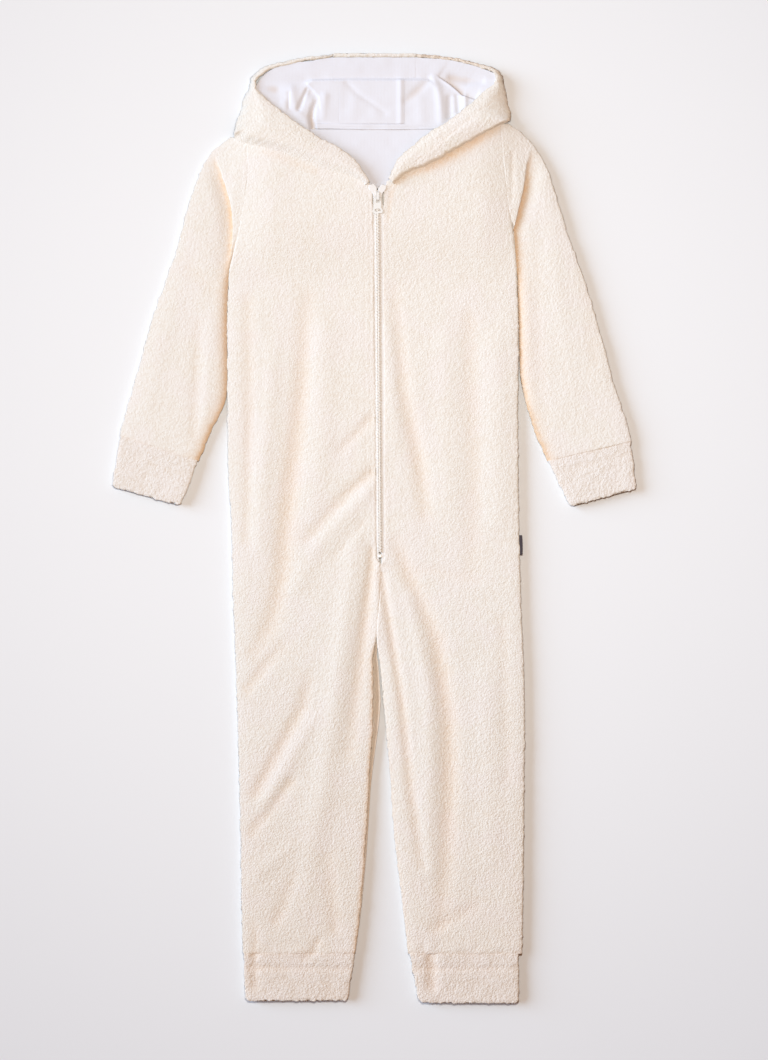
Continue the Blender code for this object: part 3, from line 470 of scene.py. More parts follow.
# where one value has two, the first is for an edge away from the light and the second for one towards it;
# an amount that fades has its reach after it
front = {
    "top": 9.0, "wall": 2.7, "depth": 0.62, "shade": 0.2, "crotch": -106.0, "legFade": 30.0,
    "sideRadius": 1.3, "sideEdge": (6.4, 5.2), "slope": (0.8, 2.0), "slopeReach": (4.0, 6.5),
    "armholeRadius": 2.5, "armholeEdge": 8.3, "armholeFrom": 236.0, "armholeTo": 262.0,
    "armholeReach": 0.7, "armholeRows": 250.0,
    "zipRadius": 1.5, "zipEdge": 8.8, "zipEnd": -31.0, "zipFade": 6.0,
    "seamRadius": 1.9, "seamEdge": 8.1, "seamReach": 0.35, "legRadius": 1.3, "legEdge": (6.4, 5.4),
    "sag": 0.25, "sagSizes": (46.0, 19.0), "puff": 0.5, "puffSize": 8.0, "puffReach": 12.0,
    "cuffDip": 0.8, "cuffRadius": 4.5, "cuffReach": 1.5,
    "stitchPress": 0.7, "edgePile": 1.6, "sideRim": 0.6, "legRim": 0.1,
    # the tints are painted shade: at the cuff's seam, beside the inner edge, beside a leg's inner edge, and in
    # the shade of a leg
    "cuffShade": (0.15, 2.5), "seamShade": (0.12, 1.5), "legShade": (0.15, 3.0), "shadowTint": (0.35, 3.5),
}


def bodyDip(x, y):
    return front["depth"] * creaseHeight(x, y, bodyCreases)


def armholeShare(side):
    return smoothStep((side[:, 1:] - front["armholeFrom"]) / (front["armholeTo"] - front["armholeFrom"]))


def frontPanel(name, table, salt):
    # across each row: a quarter ellipse up from the side edge, the top with its creases, and a quarter ellipse
    # down to the zip, the seam below it or the inseam
    table = np.array(table)[:, :4]
    sleeved = front["armholeReach"] * (table[:, 1] > front["armholeRows"])
    rows, fromNeck, fromCuff = throughRows(reachOut(table, front["cuffReach"], sleeved), teddyPile["step"])
    side, middle = rows[:, 0:2], rows[:, 2:4]
    armhole = armholeShare(side)
    leg = smoothStep((front["crotch"] - middle[:, 1:]) / front["legFade"])
    side, middle = roughened(side, middle, fromNeck, salt, 1 - armhole, leg)
    seam = smoothStep((front["zipEnd"] - middle[:, 1:]) / front["zipFade"])
    middle[:, :1] += np.sign(middle[:, :1] - side[:, :1]) * front["seamReach"] * seam * (1 - leg)
    width = lengthOf(middle - side)
    sunny = int(middle[0, 0] > side[0, 0])  # 1: the side edge lies towards the light, 0: the inseam does
    sideRadius = blendTo(front["sideRadius"], front["armholeRadius"], armhole)
    sideEdge = blendTo(front["sideEdge"][sunny], front["armholeEdge"], armhole)
    innerRadius = blendTo(blendTo(front["zipRadius"], front["seamRadius"], seam), front["legRadius"], leg)
    innerEdge = blendTo(blendTo(front["zipEdge"], front["seamEdge"], seam), front["legEdge"][1 - sunny], leg)
    columns = columnsFor(width, teddyPile["step"])
    marks, riseSide, riseInner = roundedMarks(width, sideRadius, innerRadius, columns)
    x, y = acrossRows(side, middle, marks)
    toInner = width - marks
    stitched = creaseHeight(x, y, stitchLines)
    dip = bodyDip(x, y) + stitched
    nearSide = np.exp(-marks / front["slopeReach"][sunny]) * (1 - armhole)
    nearLeg = np.exp(-toInner / front["slopeReach"][1 - sunny]) * leg
    top = front["top"] + dip + front["sag"] * ripples(x, y, salt, *front["sagSizes"])
    top -= front["cuffDip"] * (1.0 - roundOff(fromCuff, front["cuffRadius"]))
    top -= front["slope"][sunny] * nearSide + front["slope"][1 - sunny] * nearLeg
    puff = waves(x, y, front["puffSize"], salt + 5) * swell(fromCuff, front["puff"], front["puffReach"])
    z = liftAt(x, y) + top + puff
    z -= (top - sideEdge) * (1 - riseSide) + (top - innerEdge) * (1 - riseInner)
    smooth = np.dstack([x, y, z])
    rise = np.minimum(riseSide, riseInner)
    hold = 1.0 - front["stitchPress"] * np.clip(-stitched, 0, 1) + front["edgePile"] * (1 - rise)
    outside, nub = grown(smooth, teddyPile, salt, hold)
    picks = evenPicks(smooth.shape[1], 14)
    inside = smooth[:, picks].copy()
    inside[..., 2] -= 0.1 + front["wall"] * rise[:, picks]
    # painted shade: warm dark colour in the creases, under the hood's edge, at the cuff's seam, beside the zip,
    # seam and inseam, and beside a leg's inner edge that lies away from the light
    crease = front["shade"] * np.clip(-dip, 0, 2) + creaseHeight(x, y, hoodShade)
    crease += swell(fromCuff, *front["cuffShade"]) + swell(toInner, *front["seamShade"])
    crease += leg * (swell(toInner, *front["legShade"]) + sunny * swell(toInner, *front["shadowTint"]))
    rim = slopeOf(riseSide) * (1 - armhole) + slopeOf(riseInner) * leg * (0.5 + 0.5 * sunny)
    rim += front["sideRim"] * nearSide * sunny + front["legRim"] * nearLeg * (1 - sunny)
    return loopShell(name, outside, tuckedIn(inside), nub=nub, crease=np.clip(crease, 0, 1), rim=rim)


back = {"edge": (5.9, 4.7), "armholeEdge": 3.6, "radius": 2.4, "wall": 2.7, "step": 2.6, "columns": 34,
        "seamX": 2.0, "seamGap": 0.15, "seamTo": -112.0, "legFade": 10.0, "gapShade": (0.5, 10.0), "gapShadeFrom": 1.5}
backShows = [  # below the crotch one leg's back shows past its front: y, and by how much
    (-106, 0.0), (-122, 2.8), (-137, 5.2), (-172, 7.4), (-217, 4.4), (-260, 1.8), (-373, 0.6)]


def backPanel(name, table, sign, salt):
    # the underside: flat on the surface, with a quarter ellipse up to the seam with the front at each edge
    seamX = back["seamX"] + sign * back["seamGap"]
    rows = throughRows([(sideX, sideY, seamX if middleY > back["seamTo"] else middleX, backY)
                        for sideX, sideY, middleX, middleY, backY in table], back["step"])[0]
    side, middle = rows[:, 0:2], rows[:, 2:4]
    heights, widths = np.array(backShows[::-1]).T
    shows = np.interp(middle[:, 1:], heights, widths, right=0.0) * (sign < 0)
    middle[:, :1] += shows
    width = lengthOf(middle - side)
    leg = smoothStep((front["crotch"] - middle[:, 1:]) / back["legFade"])
    columns = int(back["columns"] * fineness)
    marks, riseSide, riseInner = roundedMarks(width, back["radius"], back["radius"], columns, 6)
    x, y = acrossRows(side, middle, marks)
    sunny = int(middle[0, 0] > side[0, 0])
    sideEdge = blendTo(back["edge"][sunny], back["armholeEdge"], armholeShare(side))
    low = sideEdge * (1 - riseSide) + leg * back["edge"][1 - sunny] * (1 - riseInner)
    smooth = np.dstack([x, y, liftAt(x, y) + low])
    outside, nub = grown(smooth, teddyPile, salt, np.clip(low / 1.5, 0.0, 1.0), down=True)
    picks = evenPicks(smooth.shape[1], 12)
    inside = smooth[:, picks].copy()
    rise = np.minimum(riseSide, blendTo(1.0, riseInner, leg))
    inside[..., 2] += 0.1 + ((back["wall"] - low) * rise)[:, picks]
    # painted shade on the back where it shows in the gap between the legs, near its inner edge
    gapShade = swell(width - marks, *back["gapShade"]) * smoothStep(shows / back["gapShadeFrom"])
    return loopShell(name, outside, tuckedIn(inside, drop=0.0), gapShade[:, picks], nub=nub, crease=gapShade)


# sleeves, down from the shoulder: armhole or underarm x and y, outer fold x and y, height of the fold that lies
# over at the sleeve head, its place as a share of the width, and 1 where the underarm is closed
sleeveRight = [
    (-130.2, 389, -144, 391, 0, 0.90, 0),
    (-128.9, 374, -163, 376, 0, 0.85, 0),
    (-128.9, 357, -171, 364, 1.4, 0.66, 0),
    (-131, 335, -178.5, 347, 2.8, 0.40, 0),
    (-135.5, 308, -185, 328, 3.2, 0.18, 0),
    (-142, 277, -192, 304, 2, 0.08, 0.4),
    (-147.2, 255, -198, 280, 0.6, 0.05, 0.9),
    (-149.4, 226, -209, 249, 0, 0.05, 1),
    (-149.9, 190, -222, 212, 0, 0.05, 1),
    (-149.6, 158, -233, 173, 0, 0.05, 1),
    (-149.4, 134, -241, 144, 0, 0.05, 1),
    (-163, 98, -248.5, 118, 0, 0.05, 1),
    (-175.6, 68, -255.5, 94, 0, 0.05, 1),
]
sleeveLeft = [
    (125.4, 404.6, 133, 404.4, 0, 0.90, 0),
    (127.8, 391, 144.3, 396.3, 0, 0.90, 0),
    (129, 378, 158, 383, 0, 0.85, 0),
    (131.2, 356, 171, 363, 1.3, 0.53, 0),
    (133.6, 335, 177.5, 344, 2.8, 0.36, 0),
    (137, 313, 184, 323, 3.2, 0.16, 0),
    (141, 290, 192, 296, 2.6, 0, 0.4),
    (143.2, 266, 201.5, 270, 1.4, 0, 0.9),
    (145.2, 228, 215, 231, 0, 0.05, 1),
    (146.2, 193, 225, 196, 0, 0.05, 1),
    (147, 158, 234.5, 160, 0, 0.05, 1),
    (150, 133, 243, 131, 0, 0.05, 1),
    (159, 98, 252.5, 103, 0, 0.05, 1),
    (171.6, 68, 256, 88, 0, 0.05, 1),
]
sleeveCreases = [
    [(-176, 206, -0.3, 6), (-178, 160, -0.6, 6), (-181, 92, -0.5, 6)],
    [(-164, 210, 0.3, 6), (-166, 150, 0.5, 7), (-170, 96, 0.3, 6)],
    [(-205, 230, 0.3, 10), (-228, 120, 0.4, 10)],
    [(-186, 262, -0.3, 8), (-160, 236, -0.4, 7)],
    [(160, 278, -0.3, 8), (163, 180, -0.5, 8), (168, 78, -0.4, 8)],
    [(168, 345, 0.3, 9), (182, 250, 0.5, 9), (197, 138, 0.4, 10)],
    [(210, 250, -0.3, 9), (222, 170, -0.4, 9)],
    [(137, 374, -0.5, 2.6), (137, 330, -0.4, 2.6)],
]
sleeve = {
    "top": 9.0, "middle": (6.2, 5.2), "wall": 2.4,
    "foldRadius": 1.3, "underRadius": 2.4, "innerRadius": (1.6, 12.0), "shoulderRadius": 4.0,
    "edgeSlope": (0.8, 2.0), "slopeReach": (4.0, 6.5), "armholeEdge": 8.3, "seamEdge": 4.2,
    "overhang": 3.2, "bank": 2.2, "trough": 3.4, "troughAt": 1.4, "slope": 4.6, "raise": 0.35, "fullStep": 3.2,
    "gather": 0.6, "gatherReach": 5.0, "sag": 0.22, "sagSizes": (38.0, 17.0), "cuffDip": 0.45,
    "tuck": 2.4, "tuckFrom": 112.0, "tuckFade": 40.0, "headTuck": 1.4, "headAt": 285.0, "headReach": 28.0,
    "looseFrom": 130.0, "looseFade": 20.0, "shade": 0.16, "underShade": 0.3, "sideRim": 0.6,
}


def sleevePiece(name, table, salt):
    # each row goes over the top, round the outer fold and back under; at the sleeve head the top has a fold
    # lying over: across it the distance runs back on itself while the height drops
    along = np.array(table)[:, 1]
    tuck = sleeve["tuck"] * smoothStep((along - sleeve["tuckFrom"]) / sleeve["tuckFade"])
    tuck += swell(along - sleeve["headAt"], sleeve["headTuck"], sleeve["headReach"])
    rows, fromShoulder, fromCuff = throughRows(reachOut(table, front["cuffReach"], tuck), teddyPile["step"])
    stepUp, foldPlace, closed = rows.T[4:, :, None]
    loose = smoothStep((sleeve["looseFrom"] - rows[:, 1:2]) / sleeve["looseFade"])
    inner, outer = roughened(rows[:, 0:2], rows[:, 2:4], fromShoulder, salt, loose)
    width = lengthOf(outer - inner)
    sunny = int(outer[0, 0] < inner[0, 0])  # the outer fold lies towards the light or away
    middle = sleeve["middle"][sunny]
    innerRadius = np.minimum(blendTo(*sleeve["innerRadius"], closed), 0.4 * width)
    foldRadius = np.minimum(sleeve["foldRadius"], 0.45 * width)
    columns = columnsFor(width, teddyPile["step"])
    marks, riseIn, riseOut = roundedMarks(width, innerRadius, foldRadius, columns, 8)
    foldAt = foldPlace * width
    share = stepUp / sleeve["fullStep"]
    marks = marks - share * (marks - foldAt) * swell(marks - foldAt, sleeve["gather"], sleeve["gatherReach"])
    t = (marks - foldAt) / sleeve["bank"]
    x, y = acrossRows(inner, outer, marks - share * sleeve["overhang"] * 1.16 * t * np.exp(-t ** 2))
    dip = creaseHeight(x, y, sleeveCreases)
    fold = sleeve["raise"] * stepUp * (1 - smoothStep(t / 2 + 0.5)) * smoothStep(marks / 14.0)
    troughReach = np.where(t < sleeve["troughAt"], 1.0, sleeve["slope"])
    fold -= share * swell(t - sleeve["troughAt"], sleeve["trough"], troughReach)
    fold *= np.clip(riseIn * 1.2, 0, 1)
    ends = roundOff(fromShoulder, sleeve["shoulderRadius"])
    nearFold = np.exp((marks - width) / sleeve["slopeReach"][sunny])
    top = liftAt(x, y) + sleeve["top"] + dip + sleeve["sag"] * ripples(x, y, salt, *sleeve["sagSizes"]) + fold
    top -= sleeve["cuffDip"] * (1.0 - roundOff(fromCuff, front["cuffRadius"]))
    top -= sleeve["edgeSlope"][sunny] * nearFold
    edgeIn = blendTo(sleeve["armholeEdge"], sleeve["seamEdge"] + 0.2, closed) + liftAt(x, y)
    z = top - (top - edgeIn) * (1 - riseIn) - (top - middle - 0.1) * (1 - riseOut)
    z = blendTo(middle, z, ends)
    # underneath: coarse, from the outer fold back to the inner edge
    turn = np.linspace(0.0, math.pi / 2, 7)[1:]
    underMarks = np.concatenate([width - np.minimum(sleeve["underRadius"], 0.4 * width) * (1 - np.cos(turn)),
                                 width * [0.75, 0.5, 0.3], innerRadius * [1.0, 0.5, 0.12, 0.0]], axis=1)
    underRise = np.concatenate([np.sin(turn), np.ones(4), [0.866, 0.48, 0.0]]) * np.ones_like(width)
    foldSide = np.arange(underMarks.shape[1]) < 7
    base = np.where(foldSide, middle, blendTo(0.0, sleeve["seamEdge"], closed))
    underZ = blendTo(middle, base * (1 - underRise), ends)
    under = np.dstack([*acrossRows(inner, outer, underMarks), underZ])
    smooth = np.concatenate([np.dstack([x, y, z]), under], axis=1)
    edges = np.concatenate([1 - np.minimum(blendTo(1.0, riseIn, closed), riseOut), 0.4 * underRise], axis=1)
    hold = np.clip(smooth[..., 2] / 1.5, 0.0, 1.0) * (1 + front["edgePile"] * edges)
    outside, nub = grown(smooth, teddyPile, salt, hold)
    # inside: the same turn in few points, a wall's thickness in
    foldIn = width - foldRadius - 1.0
    insideMarks = np.concatenate([width * [0.02, 0.1, 0.3, 0.5, 0.7], foldIn, width - 2.6, foldIn,
                                  width * [0.6, 0.3, 0.1, 0.02]], axis=1)
    above = np.array([np.interp(m, row, heights) for m, row, heights in zip(insideMarks, marks, z)])
    wallShare = np.array([0.05, 0.9, 1, 1, 1, 1, 1, 1, 1, 1, 0.9, 0.05])
    upper = above - (sleeve["wall"] + 2.6 * share) * wallShare
    insideZ = np.where(np.arange(12) < 6, upper, sleeve["wall"] * wallShare)
    insideZ[:, 6] = middle
    insideZ[:, 11:] = blendTo(0.15, sleeve["seamEdge"] - 0.1, closed)
    inside = np.dstack([*acrossRows(inner, outer, insideMarks), blendTo(middle, insideZ, ends)])
    # painted shade: under the fold, in the closed underarm, at the cuff's seam and on the underside
    past = np.maximum(t - 0.8, 0)
    crease = sleeve["shade"] * np.clip(-dip, 0, 2)
    crease += share * (swell(past, 0.45, 3.4) + swell(past, 0.7, 1.3)) * (t > 0.1)
    crease += closed * (swell(marks, 0.45, 9.0) + swell(marks, 0.7, 3.4)) + swell(fromCuff, 0.1, 2.5)
    crease = np.concatenate([np.clip(crease, 0, 1), np.full(underMarks.shape, sleeve["underShade"])], axis=1)
    upperRim = slopeOf(riseOut) + slopeOf(riseIn) * loose + sleeve["sideRim"] * nearFold * sunny
    rim = np.concatenate([upperRim, 0.5 * (1 - underRise) * foldSide], axis=1)
    return loopShell(name, outside, inside, nub=nub, crease=crease, rim=rim)


# cuffs from seam to hem: inner edge x and y, outer edge x and y
cuffs = {
    "sleeve_cuff_right": [(-177.2, 66.6, -254.8, 91.6), (-186, 42, -259.5, 64), (-194.5, 22.5, -263, 41.5)],
    "sleeve_cuff_left": [(173, 66.4, 255.6, 85.8), (184, 44, 258.5, 62), (195, 21.5, 261.8, 39.5)],
    "leg_cuff_right": [(-19.8, -426, -131.4, -426), (-23.6, -448, -130.6, -448), (-27.2, -472, -129.4, -472.5)],
    "leg_cuff_left": [(34.5, -426, 143.5, -426), (38.5, -448, 143.7, -448), (43.5, -474, 143.5, -475)],
}
cuffCreases = [
    [(56, -412, -1.7, 6), (57, -457, -1.5, 6)],
    [(-120, -402, -1.3, 5), (-120, -457, -1.2, 5)],
    [(-128, -439, -0.9, 3.6), (-24, -440, -0.7, 3.6)],
    [(40, -440, -0.6, 3.6), (143, -440, -0.7, 3.6)],
    [(-257, 76, -0.3, 4), (-183, 52, -0.3, 4)],
    [(257, 74, -0.3, 4), (180, 54, -0.3, 4)],
]
cuff = {
    "height": 8.6, "middle": 6.0, "wall": 2.9, "radius": 1.4, "underRadius": 2.2,
    "slope": 0.7, "slopeReach": 4.0, "hemRadius": 2.4, "hemPile": 2.0, "corner": 3.5,
    "seamReach": 0.9, "seamRadius": 4.5, "seamShare": 0.94,
    "sag": 0.3, "sagSizes": (24.0, 11.0, 0.6), "fray": 0.8, "fraySizes": (4.4, 2.6, 0.625), "frayReach": 3.0,
    "shade": 7.0, "seamShade": (0.12, 2.0), "underShade": 0.3,
}


def cuffPiece(name, table, salt):
    # a flattened tube: rings with quarter ellipses at both folds; towards the hem the wall rounds over its own
    # middle, and the hem's corners are rounded too
    rows, fromSeam, fromHem = throughRows(reachOut(table, 0.0, start=cuff["seamReach"]), cuffPile["step"])
    inner, outer = roughened(rows[:, 0:2], rows[:, 2:4], fromSeam, salt)
    way = unit(outer - inner)
    corner = cuff["corner"] * (1 - roundOff(fromHem, cuff["corner"]))
    inner, outer = inner + way * corner, outer - way * corner
    width = lengthOf(outer - inner)
    columns = columnsFor(width, cuffPile["step"])
    marks, riseA, riseB = roundedMarks(width, cuff["radius"], cuff["radius"], columns, 8)
    x, y = acrossRows(inner, outer, marks)
    dip = creaseHeight(x, y, cuffCreases) + bodyDip(x, y)
    dip += cuff["sag"] * ripples(x, y, salt, *cuff["sagSizes"])
    dip -= cuff["slope"] * (np.exp(-marks / cuff["slopeReach"]) + np.exp((marks - width) / cuff["slopeReach"]))
    rise = np.minimum(riseA, riseB)
    seam = blendTo(cuff["seamShare"], 1.0, roundOff(fromSeam, cuff["seamRadius"]))
    top = cuff["middle"] + (cuff["height"] - cuff["middle"] + dip) * rise * seam
    underMarks = width * (0.5 + 0.5 * np.cos(np.linspace(0.0, math.pi, 13)))[1:-1]
    edge = np.minimum(underMarks, width - underMarks)
    underZ = cuff["middle"] * (1 - roundOff(edge, cuff["underRadius"]))
    under = np.dstack([*acrossRows(inner, outer, underMarks), underZ])
    ring = np.concatenate([np.dstack([x, y, top]), under], axis=1)
    # the wall's own middle: half its thickness in, towards the tube's flat heart
    half = cuff["height"] / 2.0
    core, way = (inner + outer)[:, None] / 2.0, way[:, None]
    reach = (width / 2 - half)[..., None]
    aside = np.clip(((ring[..., :2] - core) * way).sum(axis=-1, keepdims=True), -reach, reach)
    heart = np.concatenate([core + way * aside, np.full(aside.shape, half)], axis=2)
    inward = unit(heart - ring) * cuff["wall"] / 2.0
    middle = ring + inward
    hem = roundOff(fromHem, cuff["hemRadius"])
    rounded = blendTo(middle, ring, hem[..., None])
    down = unit(rows[-1, 0:2] + rows[-1, 2:4] - rows[0, 0:2] - rows[0, 2:4])
    stray = cuff["fray"] * ripples(ring[..., 0], 0 * ring[..., 0], salt + 7, *cuff["fraySizes"])
    rounded[..., :2] += (stray * np.exp(-fromHem / cuff["frayReach"]))[..., None] * down
    hold = np.clip(ring[..., 2] / 1.5, 0.0, 1.0) * (1 + cuff["hemPile"] * slopeOf(hem))
    outside, nub = grown(rounded, cuffPile, salt, hold, wrap=True)
    inside = (middle + inward * hem[..., None])[evenPicks(len(ring), 7)]
    # painted shade: in the creases, at the seam with the sleeve or leg, and on the underside
    crease = np.clip(-dip / cuff["shade"], 0, 0.5) + swell(fromSeam, *cuff["seamShade"])
    crease = np.concatenate([np.clip(crease, 0, 1), np.full(underMarks.shape, cuff["underShade"])], axis=1)
    rim = np.concatenate([slopeOf(rise), np.zeros(underMarks.shape)], axis=1)
    return tubeShell(name, outside, inside, nub=nub, crease=crease, rim=np.maximum(rim, slopeOf(hem)))


# hood, down from the crown: face edge x and y, outer fold x and y, underside's height at both, crown between
# them, and the share of the doubled hem's extra thickness
hoodRight = [
    (-41.8, 470.2, -41.8, 473.9, 6.4, 6.4, 0, 1),
    (-76, 464.4, -78, 468.9, 6.4, 6.2, 0, 1),
    (-101, 458.4, -104.2, 463, 6.6, 4.6, 0.2, 1),
    (-112, 451.6, -118, 457, 8, 2.4, 0.5, 0.8),
    (-118, 446, -125.2, 448.5, 9.6, 1, 1, 0.4),
    (-118.2, 439, -126.6, 438.5, 11, 0.6, 1.4, 0.1),
    (-114.5, 434, -131.5, 433, 11.8, 0.6, 2, 0),
    (-110, 430, -134.6, 419, 12.6, 0.6, 2.4, 0),
    (-97, 418.5, -139.5, 404, 14.2, 5, 3, 0),
    (-89, 411.9, -140.5, 391, 15.2, 14, 2.4, 0),
    (-84, 408, -136, 384.5, 15.8, 16.2, 2.4, 0),
    (-72, 399.5, -113, 378, 16.2, 16.2, 2.4, 0),
    (-55, 388.5, -79, 365.5, 16.4, 16.3, 2.2, 0),
    (-35, 378, -49, 354, 16.6, 16.2, 1.8, 0),
    (-18.5, 365, -25, 348.5, 16.5, 16.1, 1.2, 0),
    (-5, 344.5, -9.5, 342, 16.1, 16.1, 0.3, 0),
]
hoodLeft = [
    (41.2, 470.2, 41.2, 473.6, 6.4, 6.4, 0, 1),
    (75, 466.6, 76, 470, 6.4, 6.2, 0, 1),
    (103, 459.6, 106, 463.4, 6.6, 4.6, 0.2, 1),
    (118, 453.8, 124, 457.6, 8, 2.4, 0.5, 0.8),
    (120, 447.5, 128.6, 450, 9.6, 1, 1, 0.4),
    (118.5, 443.4, 130.4, 440, 10.4, 0.6, 1.5, 0),
    (109, 435.5, 133.4, 426, 11.6, 0.6, 2, 0),
    (97, 424.9, 136, 413, 13.2, 3, 3, 0),
    (89, 418, 134.5, 406.5, 14.4, 11, 3, 0),
    (83, 413.3, 129, 403.6, 15.2, 15.9, 2.6, 0),
    (71, 404, 107, 391.5, 16, 16.2, 2.6, 0),
    (55, 394.5, 80, 376, 16.4, 16.3, 2.4, 0),
    (37, 380, 55, 362, 16.6, 16.3, 2, 0),
    (20.5, 364, 33, 353.5, 16.6, 16.2, 1.4, 0),
    (13.2, 347.5, 19, 342.5, 16.1, 16.1, 0.4, 0),
]
hoodCreases = [
    [(-100, 404, -0.2, 4), (-70, 382, -0.25, 4), (-40, 362, -0.2, 4)],
    [(-125, 428, -0.4, 6), (-118, 404, -0.3, 6)],
    [(100, 412, -0.3, 3), (72, 392, -0.4, 3), (40, 368, -0.3, 3)],
    [(126, 424, -0.4, 5), (112, 412, -0.3, 5)],
    [(-88, 398, 0.3, 7), (-60, 376, 0.3, 7)],
]
hood = {
    "press": 1.9, "thick": 3.0, "hem": 2.4, "faceRadius": 2.6, "step": 1.05, "sag": 0.16,
    "sagSizes": (26.0, 12.0),
    "stitchAt": 15.5, "stitchWide": 1.5, "edge": 0.4, "edgeDrop": 0.28, "bodyFrom": 12.0, "bodyFade": 3.0,
    "sink": 0.5, "neckRadius": 3.0, "leaning": 0.14, "tintReach": 3.0, "faceShade": (0.15, 1.5),
    "stitchShade": 0.3, "leaningRim": 0.6,
    # each side's tint is painted shade along its lower edge where it lies on the front, reaching as far as
    # tintReach
    "right": {"softOuter": 2.0, "merge": 17.0, "pile": 0.26, "stitch": 0.08, "tint": 0.0},
    "left": {"softOuter": 4.5, "merge": 3.0, "pile": 0.42, "stitch": 0.25, "tint": 0.55},
}


def hoodSide(name, table, own, salt):
    # from the face edge over the roll's crown to the outer fold: underside, a sine crown and the cloth's
    # thickness, with both edges rounded; where it lies on the body, the lower edge sinks softly into the front,
    # over a short way on one side and a long way on the other
    rows, fromTop, fromNeck = throughRows(table, hood["step"])
    underFace, underOuter, crown, hem = rows.T[4:, :, None]
    face, outer = roughened(rows[:, 0:2], rows[:, 2:4], fromTop, salt)
    width = lengthOf(outer - face)
    faceRadius = np.minimum(hood["faceRadius"], 0.45 * width)
    outerRadius = np.minimum(own["softOuter"], 0.45 * width)
    columns = columnsFor(width, hood["step"], 12)
    marks, riseFace, riseOuter = roundedMarks(width, faceRadius, outerRadius, columns, 6)
    x, y = acrossRows(face, outer, marks)
    u = marks / width
    level = blendTo(underFace, underOuter, u ** 2) + crown * np.sin(math.pi * u)
    thick = hood["thick"] + hood["hem"] * hem
    stitches = swell(marks - hood["stitchAt"], own["stitch"], hood["stitchWide"])
    stitches = stitches * smoothStep((width - hood["stitchAt"] - hood["stitchWide"]) / 4.0)
    sag = hood["sag"] * ripples(x, y, salt, *hood["sagSizes"]) * smoothStep(width / 12.0 - 0.5)
    dip = creaseHeight(x, y, hoodCreases) - stitches + sag
    rise = np.minimum(riseFace, riseOuter)
    onBody = smoothStep((underOuter - hood["bodyFrom"]) / hood["bodyFade"])
    edgeHeight = thick * (hood["edge"] - hood["edgeDrop"] * smoothStep(2 * u - 0.5) * (1 - onBody))
    neck = roundOff(fromNeck, hood["neckRadius"])
    z = level + edgeHeight + (thick + dip - edgeHeight) * rise * neck
    z -= hood["press"] * onBody * (1 - riseOuter)
    reach = np.minimum(own["merge"], 0.6 * width)
    frontTop = liftAt(x, y) + front["top"] - hood["sink"]
    merged = blendTo(frontTop, level + thick + dip, smoothStep((width - marks) / reach))
    merged = blendTo(level + edgeHeight, merged, riseFace * neck)
    z = blendTo(z, merged, onBody)
    rise = blendTo(rise, riseFace, onBody)
    smooth = np.dstack([x, y, z])
    leaning = smoothStep((1 - np.abs(normalsOf(smooth)[..., 2])) / hood["leaning"])
    outside, nub = grown(smooth, dict(teddyPile, height=own["pile"]), salt, 0.8 + 1.6 * (1 - rise))
    picks = evenPicks(smooth.shape[1], 26)
    inside = smooth[:, picks].copy()
    inside[..., 2] = np.minimum((level + edgeHeight * (1 - rise))[:, picks] + 0.1, inside[..., 2] - 1.0)
    # painted shade: in the stitched groove, at the turn of the face edge and along the lower edge on the front
    crease = hood["stitchShade"] * np.clip(stitches, 0, 1) + swell(marks, *hood["faceShade"])
    crease += swell(width - marks, own["tint"], hood["tintReach"])
    return loopShell(name, outside, tuckedIn(inside), nub=nub, crease=np.clip(crease, 0, 1),
                     rim=slopeOf(rise) + hood["leaningRim"] * leaning)


topHem = {"top": 474.0, "foot": 469.8, "left": -41.5, "right": 40.9, "level": 9.3, "roll": 2.5, "radius": 2.1,
          "topEdge": 8.0, "under": 6.4, "pile": 0.85, "fray": 0.35, "fraySize": 9.0, "pileFrom": 469.0,
          "step": 1.05}


def hoodMiddle(name, salt):
    # the middle panel: a strip under the lining whose doubled hem stands along the top as half a round roll
    hemY = np.linspace(topHem["top"], topHem["foot"], int(9 * fineness) + 3)
    y = np.concatenate([hemY, [469.2, 467, 450, 430, 412]])
    x = np.linspace(topHem["left"], topHem["right"], int(82 * fineness / topHem["step"]))
    gridX, gridY = np.meshgrid(x, y)
    roll = roundOff(np.minimum(topHem["top"] - gridY, gridY - topHem["foot"]), topHem["radius"])
    z = topHem["level"] + topHem["roll"] * roll
    z[0] = topHem["topEdge"]
    smooth = np.dstack([gridX, gridY + topHem["fray"] * waves(gridX, gridY, topHem["fraySize"], salt), z])
    onHem = np.where(gridY > topHem["pileFrom"], 1.0, 0.0)
    outside, nub = grown(smooth, dict(teddyPile, height=topHem["pile"]), salt, onHem)
    inside = smooth[:, evenPicks(len(x), 8)].copy()
    inside[..., 2] = topHem["under"]
    return loopShell(name, outside, inside, nub=nub, rim=onHem)


# hidden folds of the hood behind the neck: y, half width, share of the full height
foldedRows = [
    (468, 58, 0.6), (462, 84, 0.92), (448, 106, 1), (425, 116, 1),
    (390, 116, 1), (350, 110, 1), (330, 98, 0.9), (321, 82, 0.45),
]
folded = {"middleX": 2.0, "base": 0.8, "height": 4.6, "most": 6.2, "radius": 12.0, "endRadius": 5.0,
          "step": 2.4}


